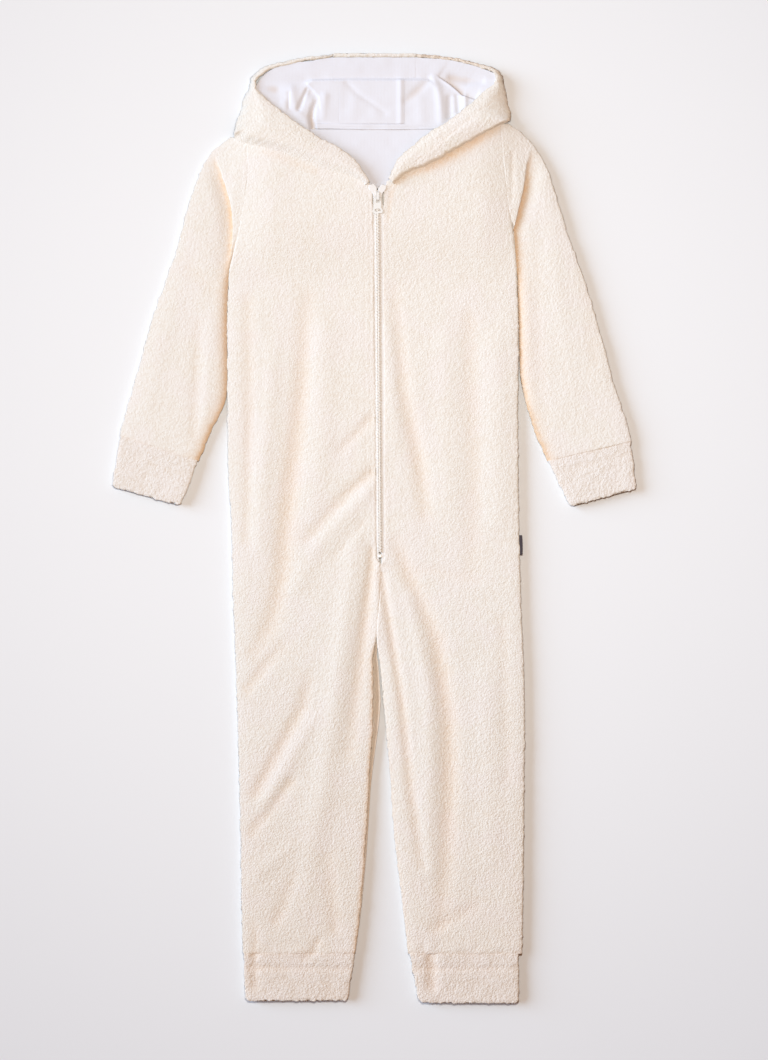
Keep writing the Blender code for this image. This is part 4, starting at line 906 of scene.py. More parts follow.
def foldedDepth(name, salt):
    # the folded layers behind the neck: a pillow with a quarter circle at every edge
    rows, fromTop, fromEnd = throughRows([(folded["middleX"] - half, y, folded["middleX"] + half, y, share)
                                          for y, half, share in foldedRows], folded["step"])
    left, right = rows[:, 0:2], rows[:, 2:4]
    radius = folded["radius"]
    marks, riseA, riseB = roundedMarks(lengthOf(right - left), radius, radius, int(60 * fineness), 6)
    rise = np.minimum(riseA, riseB) * roundOff(np.minimum(fromTop, fromEnd), folded["endRadius"])
    z = folded["base"] + folded["height"] * rows[:, 4:5] * rise
    smooth = np.dstack([*acrossRows(left, right, marks), z])
    outside, nub = grown(smooth, teddyPile, salt, 0.5)
    outside[..., 2] = np.minimum(outside[..., 2], folded["most"])
    inside = smooth[:, evenPicks(smooth.shape[1], 8)].copy()
    inside[..., 2] = 0.0
    return loopShell(name, outside, inside, nub=nub)


# lining, from its far corner to its seam with the middle panel: upper edge x and y, lower edge x and y
liningRight = [
    (-115.5, 447, -119.5, 440),
    (-108, 454.4, -115.5, 430.5),
    (-97.4, 460.2, -107, 420.5),
    (-84.4, 463.3, -97, 411.5),
    (-74.2, 465.3, -88, 404),
    (-66, 465.6, -79, 398),
    (-58, 467.4, -68, 394),
    (-50, 468.8, -60, 398.5),
    (-42, 469.8, -36, 402.8),
]
liningLeft = [
    (121, 453, 124, 442.5),
    (107.6, 458.6, 114.5, 433.5),
    (95.6, 462.4, 104.5, 423.5),
    (84.4, 465.2, 94.5, 415),
    (73.2, 467.4, 84.5, 406.5),
    (64, 468.4, 75, 399.5),
    (55, 468.8, 66, 399.5),
    (41.4, 469.8, 29, 402.8),
]
liningCreases = [
    [(-109, 440, -1.6, 6), (-99, 436, -2.4, 7), (-94, 430, -1.4, 6)],
    [(-91, 424, 1.3, 4), (-90, 415, 1.3, 4)],
    [(-86, 434, -1, 1.5), (-86, 419, -1.2, 1.5)],
    [(-83, 438, 1.4, 4), (-81, 424, 2, 4.5), (-75, 412, 1.9, 4.5), (-66, 399, 1.2, 4)],
    [(-68, 437.5, -1.6, 1.6), (-72, 428, -2.8, 2), (-76, 418, -3.4, 2.6)],
    [(-64, 434, -2.2, 4), (-60, 431, -1.6, 3.4)],
    [(-57, 403, -2.2, 4), (-46, 397, -1.6, 5)],
    [(-50, 430, 1.2, 4), (-52, 410, 0.6, 4)],
    [(-28, 444, -0.5, 3), (-18, 433.5, -0.8, 3), (0, 421.7, -0.7, 3), (9.8, 413.8, -0.3, 3)],
    [(-20, 425, 0.6, 7), (-22, 408, 0.3, 7)],
    [(25.6, 446, 1, 3), (25.6, 403, 0.9, 3)],
    [(53, 446, -1, 4), (42, 436, -1.1, 4.4), (31.5, 426.6, -0.8, 4)],
    [(45, 425, 0.6, 6), (47, 408, 0.5, 6)],
    [(58, 450, 0.8, 3), (63, 438.5, 1.5, 4), (65, 423.7, 1.5, 4), (66, 406, 1, 4)],
    [(74.5, 429, -1.6, 3.6), (74.5, 410, -1.8, 3.6)],
    [(76, 450, -1.4, 4), (92, 447, -2, 5), (106, 446, -1.2, 4)],
    [(90, 431, 1.2, 2.4), (90, 420, 1, 2.4)],
    [(82, 430, -1.2, 3), (83, 416, -1.2, 3)],
]
# the deep gap between the bunched folds at the lining's lower left
liningGap = [[(-59, 425, -1.0, 2.6), (-62, 418, -2.0, 2.8), (-63.4, 410, -2.8, 3.0), (-62, 399, -3.0, 3.2),
              (-58, 391, -3.0, 3.2)]]
liningCliffs = [  # a fold's edge as x, y, share; the drop is on the right of the way from point to point
    {"line": [(65, 449.4, 0.5), (74, 443.4, 1), (81, 437.5, 1), (87, 431.6, 0.9), (99, 427.6, 0.6)][::-1],
     "drop": 3, "bank": 1, "reach": 9, "ridge": 0.6, "roll": 1.8},
    {"line": [(-69, 446, 0.7), (-51, 447.4, 1), (-31, 448.9, 1), (-1.6, 448.9, 1), (17.7, 448.4, 1),
              (39.4, 448.9, 1), (51.3, 449.4, 0.9), (59, 450.4, 0.5)][::-1],
     "drop": 0.5, "bank": 1.8, "reach": 3.5, "ridge": 0.2, "roll": 2},
    {"line": [(-67, 441.5, 0.8), (-61, 435, 1), (-56, 429.6, 1), (-55, 420, 0.5)],
     "drop": 1, "bank": 1.1, "reach": 5, "ridge": 0.35, "roll": 1.8},
]
jersey = {"step": 0.8, "thick": 1.0, "radius": 0.5, "sag": 0.25, "sagSizes": (22.0, 9.0, 0.6), "deep": 3.0}
lining = {
    "top": 469.8, "foot": 402.8, "neckY": 403.6, "neckZ": 11.6, "level": 10.6, "least": 7.2,
    "softFolds": (0.5, 0.85),
    "creaseY": 448.8, "rise": 2.0, "softness": (16.0, 3.4), "pleat": (-76.0, 66.0, 14.0),
    "seamUpper": (-42.2, 40.6), "seamLower": (-35.6, 29.4), "seamGap": 0.3, "seamFade": 22.0,
    # places turned away from the light: x, y, half width, half height and amount
    "shades": [(43, 424, 17, 24, 1.7), (-102, 438, 9, 6, 1.3)],
}


def liningHeight(x, y, salt):
    # the crown's layer at the top, and below its crease the pleat's upper layer, with hollows and bunched
    # folds; gives the height, and the folds' own height less the painted shade of places turned away from the
    # light, for the painted fold shade
    start, end, fade = lining["pleat"]
    inPleat = smoothStep((x - start) / fade) * smoothStep((end - x) / fade)
    rise = smoothStep((lining["creaseY"] - y) / blendTo(*lining["softness"], inPleat))
    drop = np.clip((lining["creaseY"] - y) / (lining["creaseY"] - lining["neckY"]), 0.0, 1.0)
    level = lining["level"] + rise * blendTo(lining["rise"], lining["neckZ"] - lining["level"], drop)
    folds = creaseHeight(x, y, liningCreases) * blendTo(*lining["softFolds"], smoothStep((x + 58.0) / 6.0))
    folds += creaseHeight(x, y, liningGap) + cliffHeight(x, y, liningCliffs)
    sag = jersey["sag"] * ripples(x, y, salt, *jersey["sagSizes"])
    shade = sum(amount * np.exp(-((x - atX) / wide) ** 2 - ((y - atY) / high) ** 2)
                for atX, atY, wide, high, amount in lining["shades"])
    return np.maximum(level + folds + sag, lining["least"]), folds - shade


def pastCrease(y):
    # 0 above the pleat's crease, 1 below it
    return smoothStep((lining["creaseY"] - y) / 2.0 + 0.5)


def jerseySheet(name, left, right, heightAt, shift=None):
    # rows of points from left to right, rounded over at every edge; heightAt gives the top and folds' heights
    width = lengthOf(right - left)
    radius = np.minimum(jersey["radius"], 0.4 * width)
    columns = columnsFor(width, jersey["step"], 6)
    marks, riseA, riseB = roundedMarks(width, radius, radius, columns, 5)
    x, y = acrossRows(left, right, marks)
    if shift is not None:
        x = x + shift(x, y)
    top, folds = heightAt(x, y)
    run = np.concatenate([[0.0], np.cumsum(lengthOf(np.diff((left + right) / 2, axis=0)))])[:, None]
    rise = np.minimum(riseA, riseB) * roundOff(np.minimum(run, run[-1] - run) + 0.02, jersey["radius"])
    outside = np.dstack([x, y, top - jersey["thick"] * 0.8 * (1 - rise)])
    picks = evenPicks(x.shape[1], 26)
    inside = outside[:, picks].copy()
    inside[..., 2] = (top - jersey["thick"])[:, picks]
    # painted shade: the deeper the folds, the more fold colour
    return loopShell(name, outside, inside, crease=np.clip(-folds / jersey["deep"], 0, 1))


def liningSide(name, table, sign, salt):
    # rows run from the panel's far corner to its seam with the middle; the seam steps sideways at the pleat's
    # crease, and points near it follow
    rows = throughRows(table, jersey["step"])[0]
    upper, lower = lining["seamUpper"][sign > 0], lining["seamLower"][sign > 0]

    def seamShift(x, y):
        drop = np.clip((lining["top"] - y) / (lining["top"] - lining["neckY"]), 0, 1)
        straight = blendTo(table[-1][0], table[-1][2], drop)
        wanted = blendTo(upper, lower, pastCrease(y)) - sign * lining["seamGap"]
        return (wanted - straight) * (1 - smoothStep(np.abs(x - straight) / lining["seamFade"]))

    return jerseySheet(name, rows[:, 0:2], rows[:, 2:4], lambda x, y: liningHeight(x, y, salt), seamShift)


def liningMiddle(name, salt):
    # the middle panel between its two stepped seams
    y = np.linspace(lining["top"], lining["foot"], int(66 * fineness / jersey["step"]))
    left, right = (np.stack([blendTo(upper, lower, pastCrease(y)) + gap, y], axis=1) for upper, lower, gap
                   in zip(lining["seamUpper"], lining["seamLower"], (-lining["seamGap"], lining["seamGap"])))
    return jerseySheet(name, left, right, lambda x, y: liningHeight(x, y, salt))


# facing inside the back neck, down from the tape: y, half width
facingRows = [(398, 74), (388, 73), (372, 64), (356, 50), (342, 32), (338.6, 26)]
facing = {"middleX": 2.0, "level": 4.6, "sag": 0.25, "sagSizes": (24.0, 8.0, 0.4), "step": 1.0,
          "shade": 1.3, "shadeFrom": 385.0, "shadeFade": 30.0}
facingTable = [(facing["middleX"] - half, y, facing["middleX"] + half, y) for y, half in facingRows]
tape = {"left": -59.0, "right": 66.0, "top": 403.6, "foot": 398.2, "bow": 0.9, "bowFrom": -45.0,
        "bowLong": 110.0, "level": 11.8, "sag": 0.2, "sagSize": 13.0, "stitchY": 399.3, "stitch": (0.45, 0.5),
        "step": 0.9}


def neckFacing(name, salt):
    # a half-moon that lies on the back, shaded towards the zip
    rows = throughRows(facingTable, facing["step"])[0]

    def heightAt(x, y):
        top = liftAt(x, y) + facing["level"] + facing["sag"] * ripples(x, y, salt, *facing["sagSizes"])
        return top, -facing["shade"] * smoothStep((facing["shadeFrom"] - y) / facing["shadeFade"])

    return jerseySheet(name, rows[:, 0:2], rows[:, 2:4], heightAt)


def neckTape(name, salt):
    # a narrow folded tape over the neck seam, bowed as half a sine like the seam under it
    x = np.linspace(tape["left"], tape["right"], int((tape["right"] - tape["left"]) * fineness / tape["step"]))
    bow = tape["bow"] * np.sin(np.clip((x - tape["bowFrom"]) / tape["bowLong"], 0, 1) * math.pi)
    high = np.stack([x, tape["top"] - bow * 0.8], axis=1)
    low = np.stack([x, tape["foot"] - bow], axis=1)

    def heightAt(x, y):
        stitched = swell(y - tape["stitchY"], *tape["stitch"])
        return tape["level"] + tape["sag"] * waves(x, y, tape["sagSize"], salt) - stitched, np.zeros_like(x)

    return jerseySheet(name, high, low, heightAt)


zipper = {"topX": 2.6, "bottomX": 5.2, "topY": 342.0, "bottomY": -29.5,
          "tapeZ": 8.4, "tapeWide": 7.5, "tapeOut": 1.5, "tapeEnd": -36.0, "neckY": 316.0,
          "coilTop": 323.5, "coilEnd": -25.6, "coilZ": 8.55, "pitch": 1.5, "wire": 0.50,
          "stopHalf": 1.7, "stopY": (-29.5, -26.4), "stopZ": (7.6, 9.0), "stopSquare": (0.35, 0.6)}
coilTurn = [  # the wire of one turn: across, along, up and thickness, from the flat head at the middle
    (-0.35, 0, 0, 0.7), (0, 0, 0.55, 1.25), (0.5, 0, 0.62, 1.05), (1.2, 0.05, 0.6, 1), (1.9, 0.2, 0.45, 1),
    (2.1, 0.4, 0, 1), (1.9, 0.55, -0.45, 1), (1, 0.7, -0.5, 0.8)]


def zipX(y):
    # the zip's middle, a straight line that leans slightly
    down = (zipper["topY"] - y) / (zipper["topY"] - zipper["bottomY"])
    return blendTo(zipper["topX"], zipper["bottomX"], down)


def zipTape(name, side, salt):
    # a narrow sheet beside the coil that turns outwards at the neck, where its end is folded away
    neckY = zipper["neckY"]
    y = np.concatenate([np.linspace(zipper["topY"] + 1.0, neckY, int(40 * fineness)),
                        np.linspace(neckY - 1.5, zipper["tapeEnd"], int(180 * fineness))])
    out = smoothStep((y - 331.0) / 10.0)
    apart = smoothStep((y - 337.5) / 6.0)
    narrow = smoothStep((y - neckY) / 10.0)
    near = np.stack([zipX(y) + side * (1.2 - 0.8 * out + 3.4 * apart), y - side * 0.5 * out], axis=1)
    far = np.stack([zipX(y) + side * (zipper["tapeWide"] - 3.0 * narrow + 4.4 * out), y - 1.8 * out], axis=1)

    def heightAt(x, y):
        turnedUp = zipper["tapeOut"] * smoothStep((y - 327.0) / 5.0)
        top = liftAt(x, y) + zipper["tapeZ"] + bodyDip(x, y) + 0.1 * waves(x, y, 11.0, salt) + turnedUp
        return top, np.zeros_like(x)

    return jerseySheet(name, near, far, heightAt)


def zipCoil(name, side):
    # each turn is a round wire: from a flat head out along the tape, round its end and back underneath
    turns = np.arange(zipper["coilTop"], zipper["coilEnd"] + zipper["pitch"], -zipper["pitch"])
    turns = turns - (zipper["pitch"] / 2 if side > 0 else 0.0)
    path, thick = np.array(coilTurn)[:, :3], np.array(coilTurn)[:, 3, None, None] * zipper["wire"]
    way = unit(np.gradient(path, axis=0))
    first = unit(np.cross(way, [0.0, 1.0, 0.0]))
    second = np.cross(way, first)
    angle = np.linspace(0.0, 2 * math.pi, 6, endpoint=False)[None, :, None]
    ring = path[:, None] + thick * (first[:, None] * np.cos(angle) + second[:, None] * np.sin(angle))
    x = zipX(turns)
    base = np.stack([x, turns, liftAt(x, turns) + bodyDip(x, turns) + zipper["coilZ"]], axis=1)
    return cappedTubes(name, base[:, None, None] + ring * [side, -1.0, 1.0])


def zipStop(name):
    # a bar with rounded edges: a ball whose sines and cosines are raised to a small power, ring by ring
    def squared(wave, power):
        return np.sign(wave) * np.abs(wave) ** power

    across, upward = zipper["stopSquare"]
    u = np.linspace(0.0, math.pi, 12)[1:-1, None]
    v = np.linspace(0.0, 2 * math.pi, 32, endpoint=False)[None]
    ring = np.sin(u) ** across
    shape = [ring * squared(wave, across) for wave in (np.cos(v), np.sin(v))]
    shape.append(squared(np.cos(u), upward) + 0 * v)
    x = zipX(zipper["bottomY"])
    spans = ((x - zipper["stopHalf"], x + zipper["stopHalf"]), zipper["stopY"], zipper["stopZ"])
    points = [(low + high) / 2 + (high - low) / 2 * part for (low, high), part in zip(spans, shape)]
    return cappedTubes(name, np.dstack(points)[None])


label = {"from": -27.0, "to": -7.2, "seamX": 144.0, "out": 2.9, "fold": 0.45, "middleZ": 4.1, "apart": 0.5,
         "turnAt": 0.42, "ribbon": 0.16, "bend": 0.25}


def sideLabel(name):
    # a ribbon loop: out of the seam, round a fold and back, as a path given its width along the seam and bent
    # by a sine
    s = np.linspace(0.0, 1.0, 26)
    turnAt = label["turnAt"]
    turn = np.clip((s - turnAt) / (1 - 2 * turnAt), 0, 1) * math.pi
    reach = label["out"] * np.clip(np.minimum(s, 1 - s) / turnAt, 0, 1)
    x = label["seamX"] + reach + label["fold"] * np.sin(turn)
    path = np.stack([x, label["middleZ"] + label["apart"] * np.cos(turn)], axis=1)
    way = unit(np.gradient(path, axis=0))
    out = np.stack([way[:, 1], -way[:, 0]], axis=1) * label["ribbon"]
    y = np.linspace(label["from"], label["to"], 24)[:, None]
    ringX, ringZ = np.concatenate([path + out, (path - out)[::-1]], axis=0).T
    bend = label["bend"] * np.sin((y - label["from"]) / (label["to"] - label["from"]) * math.pi * 1.3)
    return cappedTubes(name, np.dstack([ringX + bend, y + 0 * ringX, ringZ + 0 * y])[None])


print("scene: shapes ready")


class Wire:
    # a shader value that takes part in sums; every operator is one Math node
    def __init__(self, tree, socket):
        self.tree, self.socket = tree, socket

    def sum(self, operation, first, second):
        node = addNode(self.tree, "ShaderNodeMath", {"operation": operation}, [first, second])
        return Wire(self.tree, node.outputs[0])

    def __add__(self, other):
        return self.sum("ADD", self, other)

    def __sub__(self, other):
        return self.sum("SUBTRACT", self, other)

    def __rsub__(self, other):
        return self.sum("SUBTRACT", other, self)

    def __mul__(self, other):
        return self.sum("MULTIPLY", self, other)

    __radd__ = __add__
    __rmul__ = __mul__

    def least(self, other):
        return self.sum("MINIMUM", self, other)


def addNode(tree, kind, settings=None, values=None):
    # makes a node, sets its own settings first, then its inputs by name or place, as numbers or links
    node = tree.nodes.new(kind)
    for key, value in (settings or {}).items():
        setattr(node, key, value)
    for key, value in values.items() if isinstance(values, dict) else enumerate(values or []):
        if isinstance(value, Wire):
            value = value.socket
        if isinstance(value, bpy.types.NodeSocket):
            tree.links.new(value, node.inputs[key])
        else:
            node.inputs[key].default_value = value
    return node


def mixColour(tree, share, a, b, blend="MIX"):
    # a where the share is 0, b where it is 1; a blend of MULTIPLY gives a times b there
    settings = {"data_type": "RGBA", "clamp_factor": True, "blend_type": blend}
    return addNode(tree, "ShaderNodeMix", settings, {0: share, 6: a, 7: b}).outputs[2]


def ramp(tree, value, low, high):
    # 0 below low, 1 above high, smooth between
    settings = {"clamp": True, "interpolation_type": "SMOOTHSTEP"}
    node = addNode(tree, "ShaderNodeMapRange", settings, {0: value, 1: low, 2: high, 3: 0.0, 4: 1.0})
    return Wire(tree, node.outputs[0])


def noise(tree, where, scale, detail=2.0):
    # cloudy noise with that many cells to a metre: its value first, then its colour
    values = {"Vector": where, "Scale": scale, "Detail": detail}
    return addNode(tree, "ShaderNodeTexNoise", {"noise_dimensions": "3D"}, values).outputs


def attribute(tree, name):
    # a mark that makeMesh gave each point
    return Wire(tree, addNode(tree, "ShaderNodeAttribute", {"attribute_name": name}).outputs["Fac"])


def vectorMaths(tree, operation, *values):
    return addNode(tree, "ShaderNodeVectorMath", {"operation": operation}, list(values)).outputs[0]


def newLook(name, roughness, sheen=0.0, sheenTint=(1, 1, 1, 1)):
    # a material, its tree, its shader and the place on the object in metres
    look = bpy.data.materials.new(name)
    look.use_nodes = True
    tree = look.node_tree
    shader = tree.nodes["Principled BSDF"]
    fixed = {"Roughness": roughness, "Sheen Weight": sheen, "Sheen Roughness": 0.6, "Sheen Tint": sheenTint}
    for key, value in fixed.items():
        shader.inputs[key].default_value = value
    return look, tree, shader, addNode(tree, "ShaderNodeTexCoord").outputs["Object"]


def finishLook(tree, shader, colour, relief, strength, distance, **normal):
    # the colour, and the relief as a bump of that distance in metres
    values = {"Strength": strength, "Distance": distance, "Height": relief, **normal}
    bump = addNode(tree, "ShaderNodeBump", None, values)
    tree.links.new(colour, shader.inputs["Base Color"])
    tree.links.new(bump.outputs[0], shader.inputs["Normal"])


# colours of the curls, and of painted shade between them, in creases and gaps, and the light's painted fall-off
# towards the feet
teddyLook = {"top": (0.611, 0.564, 0.512, 1), "low": (0.588, 0.526, 0.461, 1), "crease": (0.58, 0.36, 0.19, 1),
             "pink": (0.615, 0.556, 0.519, 1), "feetLightFalloff": (1.015, 0.970, 0.925, 1),
             "sheenTint": (1.0, 0.96, 0.92, 1),
             "roughness": 0.95, "sheen": 0.5, "blotch": 34.0, "curl": 500.0, "bent": 0.0012, "fuzz": 900.0,
             "bump": 0.00056, "lift": 3.5, "longer": 0.6}
cuffLook = dict(teddyLook, top=(0.604, 0.550, 0.505, 1), low=(0.561, 0.491, 0.428, 1), bump=0.000728,
                longer=0.3)


def teddyMaterial(name, look):
    # cream curls: bent cells, each a small mound, with a finer fuzz; painted shade makes them darker and warmer
    # in between
    made, tree, shader, where = newLook(name, look["roughness"], look["sheen"], look["sheenTint"])
    stray = noise(tree, where, look["curl"], 1.0)["Color"]
    bent = vectorMaths(tree, "MULTIPLY_ADD", stray, (look["bent"],) * 3, where)
    cells = addNode(tree, "ShaderNodeTexVoronoi", {"feature": "F1", "voronoi_dimensions": "3D"},
                    {"Vector": bent, "Scale": look["curl"]})
    curl = 1 - Wire(tree, cells.outputs["Distance"])
    fuzz, patch = (Wire(tree, noise(tree, where, look[key])[0]) for key in ("fuzz", "blotch"))
    relief = curl * 0.55 + fuzz * 0.45
    # painted shade: the colour goes from the darker, warmer low colour in the hollows between curls to the top
    # colour on them
    height = ramp(tree, attribute(tree, "nub"), -0.15, 0.75) * 0.45 + relief * 0.55
    base = mixColour(tree, ramp(tree, height, 0.1, 0.7), look["low"], look["top"])
    base = mixColour(tree, ramp(tree, patch, 0.42, 0.66) * 0.55, base, look["pink"])
    # painted shade: a warm dark colour, mixed in by each piece's mark of its creases, seams, gaps and
    # undersides, less on the curls' tops
    creased = attribute(tree, "crease").least(1.0) * (1 - ramp(tree, height, 0.2, 0.9) * 0.3) * 0.85
    base = mixColour(tree, creased, base, look["crease"])
    along = Wire(tree, addNode(tree, "ShaderNodeSeparateXYZ", None, [where]).outputs[1])
    # painted fall-off of the light: warmer and a little darker towards the feet
    base = mixColour(tree, ramp(tree, 0 - along, 0.08, 0.50), base, look["feetLightFalloff"], "MULTIPLY")
    # the pile stands further up towards the feet, and at a rim its hairs catch light from above
    relief = relief * (1 + ramp(tree, 0 - along, -0.10, 0.42) * look["longer"])
    facingWay = addNode(tree, "ShaderNodeNewGeometry").outputs["Normal"]
    upward = Wire(tree, addNode(tree, "ShaderNodeSeparateXYZ", None, [facingWay]).outputs[2])
    rimUp = attribute(tree, "rim") * ramp(tree, upward, 0.02, 0.30) * look["lift"]
    up = addNode(tree, "ShaderNodeCombineXYZ", None, [0.0, 0.0, rimUp]).outputs[0]
    lifted = vectorMaths(tree, "NORMALIZE", vectorMaths(tree, "ADD", facingWay, up))
    finishLook(tree, shader, base, relief, 1.0, look["bump"], Normal=lifted)
    return made


# base and shade are the knit's own colours, varying at random; fold is painted shade in folds
jerseyLook = {"base": (0.570, 0.555, 0.585, 1), "shade": (0.545, 0.522, 0.546, 1),
              "fold": (0.50, 0.41, 0.35, 1), "knit": 1400.0, "fuzz": 700.0, "patch": 45.0,
              "roughness": 0.78, "sheen": 0.05}


def jerseyMaterial(name, look):
    # fine smooth knit: columns of stitches as a small bump, with painted shade, darker and warmer, in folds and
    # places away from the light
    made, tree, shader, where = newLook(name, look["roughness"], look["sheen"])
    patch, fuzz = (Wire(tree, noise(tree, where, look[key])[0]) for key in ("patch", "fuzz"))
    base = mixColour(tree, ramp(tree, patch, 0.35, 0.75) * 0.35, look["base"], look["shade"])
    # painted shade: the fold colour where the sheet marks folds and shade
    base = mixColour(tree, ramp(tree, attribute(tree, "crease"), 0.35, 1.1) * 0.8, base, look["fold"])
    knit = addNode(tree, "ShaderNodeTexWave", {"wave_type": "BANDS", "bands_direction": "X"},
                   {"Vector": where, "Scale": look["knit"] / 6.283, "Distortion": 1.5, "Detail": 1.0})
    finishLook(tree, shader, base, Wire(tree, knit.outputs["Fac"]) * 0.4 + fuzz * 0.6, 0.35, 0.0002)
    return made


# finishes of one colour with a fine grain: colour, roughness, how dark the grain is, its depth and scale
plainLooks = {
    "zip_tape": ((0.645, 0.605, 0.575, 1), 0.85, 0.94, 0.0002, 1500.0),  # woven
    "zip_nylon": ((0.755, 0.685, 0.615, 1), 0.45, 0.97, 0.00003, 800.0),
    "zip_metal": ((0.53, 0.50, 0.475, 1), 0.42, 0.97, 0.00003, 500.0),  # lacquered
    "label": ((0.054, 0.046, 0.064, 1), 0.75, 0.8, 0.0002, 1800.0),  # ribbon
}


def plainMaterial(name, colour, roughness, grain, depth, scale):
    # spots of the colour and of a darker one, with the same spots as relief
    made, tree, shader, where = newLook(name, roughness)
    spots = Wire(tree, noise(tree, where, scale, 3.0)[0])
    darker = tuple(c * grain for c in colour[:3]) + (1,)
    finishLook(tree, shader, mixColour(tree, ramp(tree, spots, 0.35, 0.65), darker, colour), spots, 0.5, depth)
    return made


looks = {
    "teddy": teddyMaterial("teddy", teddyLook),
    "teddy_hood": teddyMaterial("teddy_hood", dict(teddyLook, bump=0.000672)),
    "teddy_cuff": teddyMaterial("teddy_cuff", cuffLook),
    "jersey": jerseyMaterial("jersey", jerseyLook),
}
looks.update((name, plainMaterial(name, *given)) for name, given in plainLooks.items())
print("scene: materials ready")

pieces = {}  # every new piece, by the node that it stands for


def place(node, piece, look):
    # gives a piece its look and its body, hides the node that it stands for and keeps the piece by that node
    piece.data.materials.append(looks[look])
    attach(piece, "garment")
    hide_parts(node)
    "teddy" if look.startswith("teddy") else look
    pieces[node] = piece


def outlineOf(table, x=2, y=3):
    # down one edge of a piece's sections and back up the other, whose columns are x and y
    return [(row[0], row[1]) for row in table] + [(row[x], row[y]) for row in table[::-1]]


def layCloth(outline, layers=1.0, strip=False):
    # flat size of a cut in metres: its box's sides and its area by the shoelace formula; a strip is as long as
    # the line through its middle and as wide as its area asks for; a folded piece or a tube has two layers
    points = np.array(outline, float) * mm
    x, y = points.T
    area = abs((x * np.roll(y, -1) - y * np.roll(x, -1)).sum()) / 2
    size = (np.ptp(x), np.ptp(y))
    if strip:
        half = len(points) // 2
        length = lengthOf(np.diff((points[:half] + points[:half - 1:-1]) / 2, axis=0)).sum()
        size = (area * 1.002 / length, length)
    area = min(area, size[0] * size[1] * 0.999)
    float(size[0] * layers)
    float(area * layers)


sides = {
    "right": {"sign": -1, "salt": 11, "hoodSalt": 75, "body": bodyRight, "sleeve": sleeveRight,
              "hood": hoodRight, "lining": liningRight},
    "left": {"sign": 1, "salt": 23, "hoodSalt": 79, "body": bodyLeft, "sleeve": sleeveLeft,
             "hood": hoodLeft, "lining": liningLeft},
}
liningSalt = 87  # one for all three panels, so that they meet
for side, own in sides.items():
    backMade = backPanel("teddy_back_" + side, own["body"], own["sign"], own["salt"] + 100)
    place("back_" + side, backMade, "teddy")
    place("front_" + side, frontPanel("teddy_front_" + side, own["body"], own["salt"]), "teddy")
print("scene: body made")

for side, own in sides.items():
    place("sleeve_" + side, sleevePiece("teddy_sleeve_" + side, own["sleeve"], own["salt"] + 20), "teddy")
for count, (node, table) in enumerate(cuffs.items()):
    place(node, cuffPiece("teddy_" + node, table, 60 + count), "teddy_cuff")
print("scene: sleeves and cuffs made")

place("hood_folded_depth", foldedDepth("teddy_folded_depth", 71), "teddy")
for side, own in sides.items():
    hoodMade = hoodSide("teddy_hood_" + side, own["hood"], hood[side], own["hoodSalt"])
    place("hood_" + side, hoodMade, "teddy_hood")
place("hood_centre", hoodMiddle("teddy_hood_centre", 83), "teddy")
for side, own in sides.items():
    liningMade = liningSide("jersey_lining_" + side, own["lining"], own["sign"], liningSalt)
    place("hood_lining_" + side, liningMade, "jersey")
place("hood_lining_centre", liningMiddle("jersey_lining_centre", liningSalt), "jersey")
place("back_neck_facing", neckFacing("jersey_neck_facing", 91), "jersey")
place("neck_tape", neckTape("jersey_neck_tape", 95), "jersey")
print("scene: hood and lining made")

for side, own in sides.items():
    place("zip_tape_" + side, zipTape("zip_tape_" + side + "_cloth", own["sign"], 97), "zip_tape")
    place("zip_coil_" + side, zipCoil("zip_coil_" + side + "_turns", own["sign"]), "zip_nylon")
place("zip_stop", zipStop("zip_stop_bar"), "zip_nylon")
place("side_label", sideLabel("navy_side_label"), "label")
metalEdge = {"width": 0.22, "segments": 2, "angle": 35.0}
for node in ("zip_slider", "zip_pull_tab"):
    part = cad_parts[node]
    part.data.materials.clear()
    part.data.materials.append(looks["zip_metal"])
    soft = part.modifiers.new("soft edges", "BEVEL")
    soft.width = metalEdge["width"] * mm
    soft.segments = metalEdge["segments"]
    soft.limit_method = "ANGLE"
    soft.angle_limit = math.radians(metalEdge["angle"])
print("scene: zip and label made")

for side, own in sides.items():
    layCloth(outlineOf(own["body"], y=4))
for side, own in sides.items():
    layCloth(outlineOf(own["body"]))
for side, own in sides.items():
    layCloth(outlineOf(own["sleeve"]), layers=2.0)
for node, table in cuffs.items():
    layCloth(outlineOf(table), layers=2.0)
for side, own in sides.items():
    layCloth(outlineOf(own["hood"]), strip=True)
for side, own in sides.items():
    layCloth(outlineOf(own["lining"]))
layCloth([(-42, 469.8), (41, 469.8), (29, 403.6), (-36, 403.6)])
layCloth(outlineOf(facingTable))

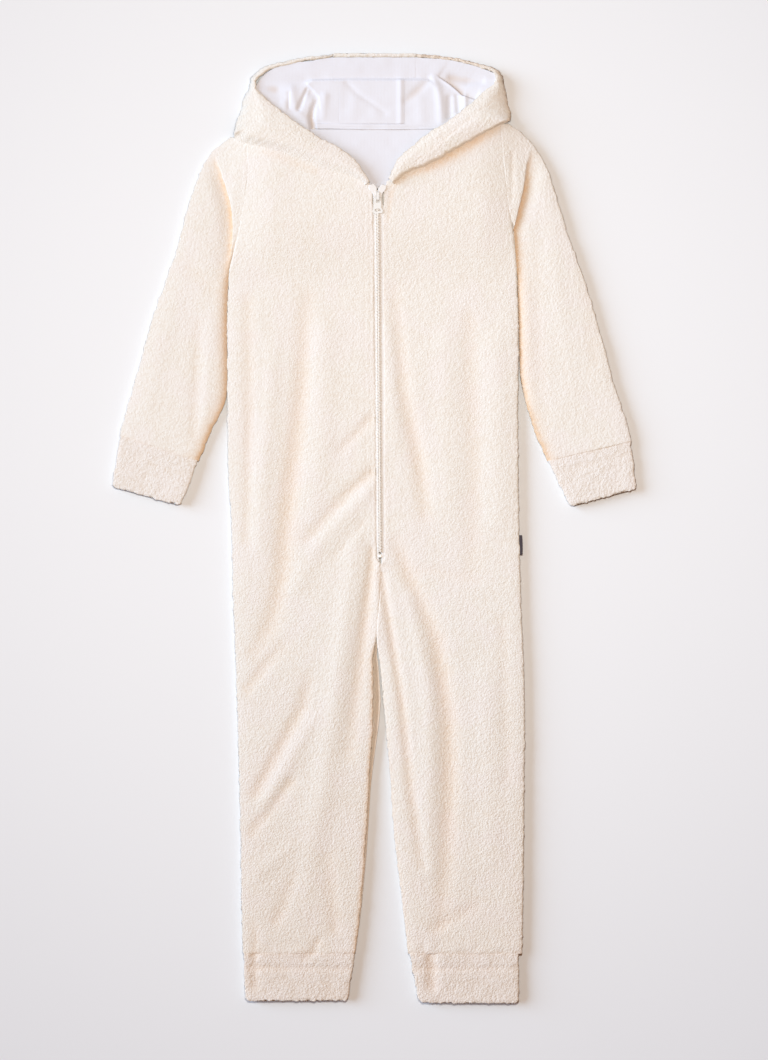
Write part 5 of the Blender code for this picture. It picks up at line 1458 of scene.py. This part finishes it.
# surface, light and camera, in metres
stage = {
    "floor": (0.619, 0.608, 0.606, 1), "half": 6.0, "below": -0.0002, "floorRoughness": 0.9,
    "world": 0.14, "roomTint": (2.06, 1.0, 0.47, 1), "backdrop": (0.56, 0.555, 0.565, 1),
    "sun": 3.8, "sunFrom": (-0.85, 0.22, 0.39), "sunSoft": 40.0, "sunTint": (0.73, 1.0, 1.30),
    "top": 20.3, "topAt": (0.0, 0.23, 1.53), "topSize": 0.2, "topTint": (1.0, 1.0, 0.94),
    "lens": 81.5, "sensor": 36.0, "height": 2.405, "aim": (0.009, -0.002),
}


def addLight(name, kind, energy, tint, **given):
    light = bpy.data.lights.new(name, kind)
    for key, value in dict(given, energy=energy, color=tint).items():
        setattr(light, key, value)
    return addObject(name, light)


floorMesh = bpy.data.meshes.new("surface")
corners = [(x * stage["half"], y * stage["half"], 0) for x, y in ((-1, -1), (1, -1), (1, 1), (-1, 1))]
floorMesh.from_pydata(corners, [], [(0, 1, 2, 3)])
floorLook, _, floorShader, _ = newLook("surface", stage["floorRoughness"])
floorShader.inputs["Base Color"].default_value = stage["floor"]
floorMesh.materials.append(floorLook)
floor = addObject("surface", floorMesh)
floor.location.z = stage["below"]

world = bpy.data.worlds.new("room")
world.use_nodes = True
room = world.node_tree.nodes["Background"]
room.inputs["Color"].default_value = stage["roomTint"]
room.inputs["Strength"].default_value = stage["world"]
backdrop = addNode(world.node_tree, "ShaderNodeBackground", None, {"Color": stage["backdrop"]})
# only the camera sees the backdrop
seen = addNode(world.node_tree, "ShaderNodeLightPath").outputs["Is Camera Ray"]
shown = addNode(world.node_tree, "ShaderNodeMixShader", None, [seen, room.outputs[0], backdrop.outputs[0]])
world.node_tree.links.new(shown.outputs[0], world.node_tree.nodes["World Output"].inputs["Surface"])
bpy.context.scene.world = world

sun = addLight("window", "SUN", stage["sun"], stage["sunTint"], angle=math.radians(stage["sunSoft"]))
sun.rotation_euler = Vector(stage["sunFrom"]).to_track_quat("Z", "Y").to_euler()
topLight = addLight("softbox", "AREA", stage["top"], stage["topTint"], size=stage["topSize"])
topLight.location = stage["topAt"]

cameraData = bpy.data.cameras.new("camera")
cameraData.lens = stage["lens"]
cameraData.sensor_width = stage["sensor"]
camera = addObject("camera", cameraData)
camera.location = (*stage["aim"], stage["height"])
bpy.context.scene.camera = camera
bpy.context.scene.view_settings.view_transform = "Standard"

total = sum(len(piece.data.loops) - 2 * len(piece.data.polygons) for piece in pieces.values())
print("scene: triangles added", total)
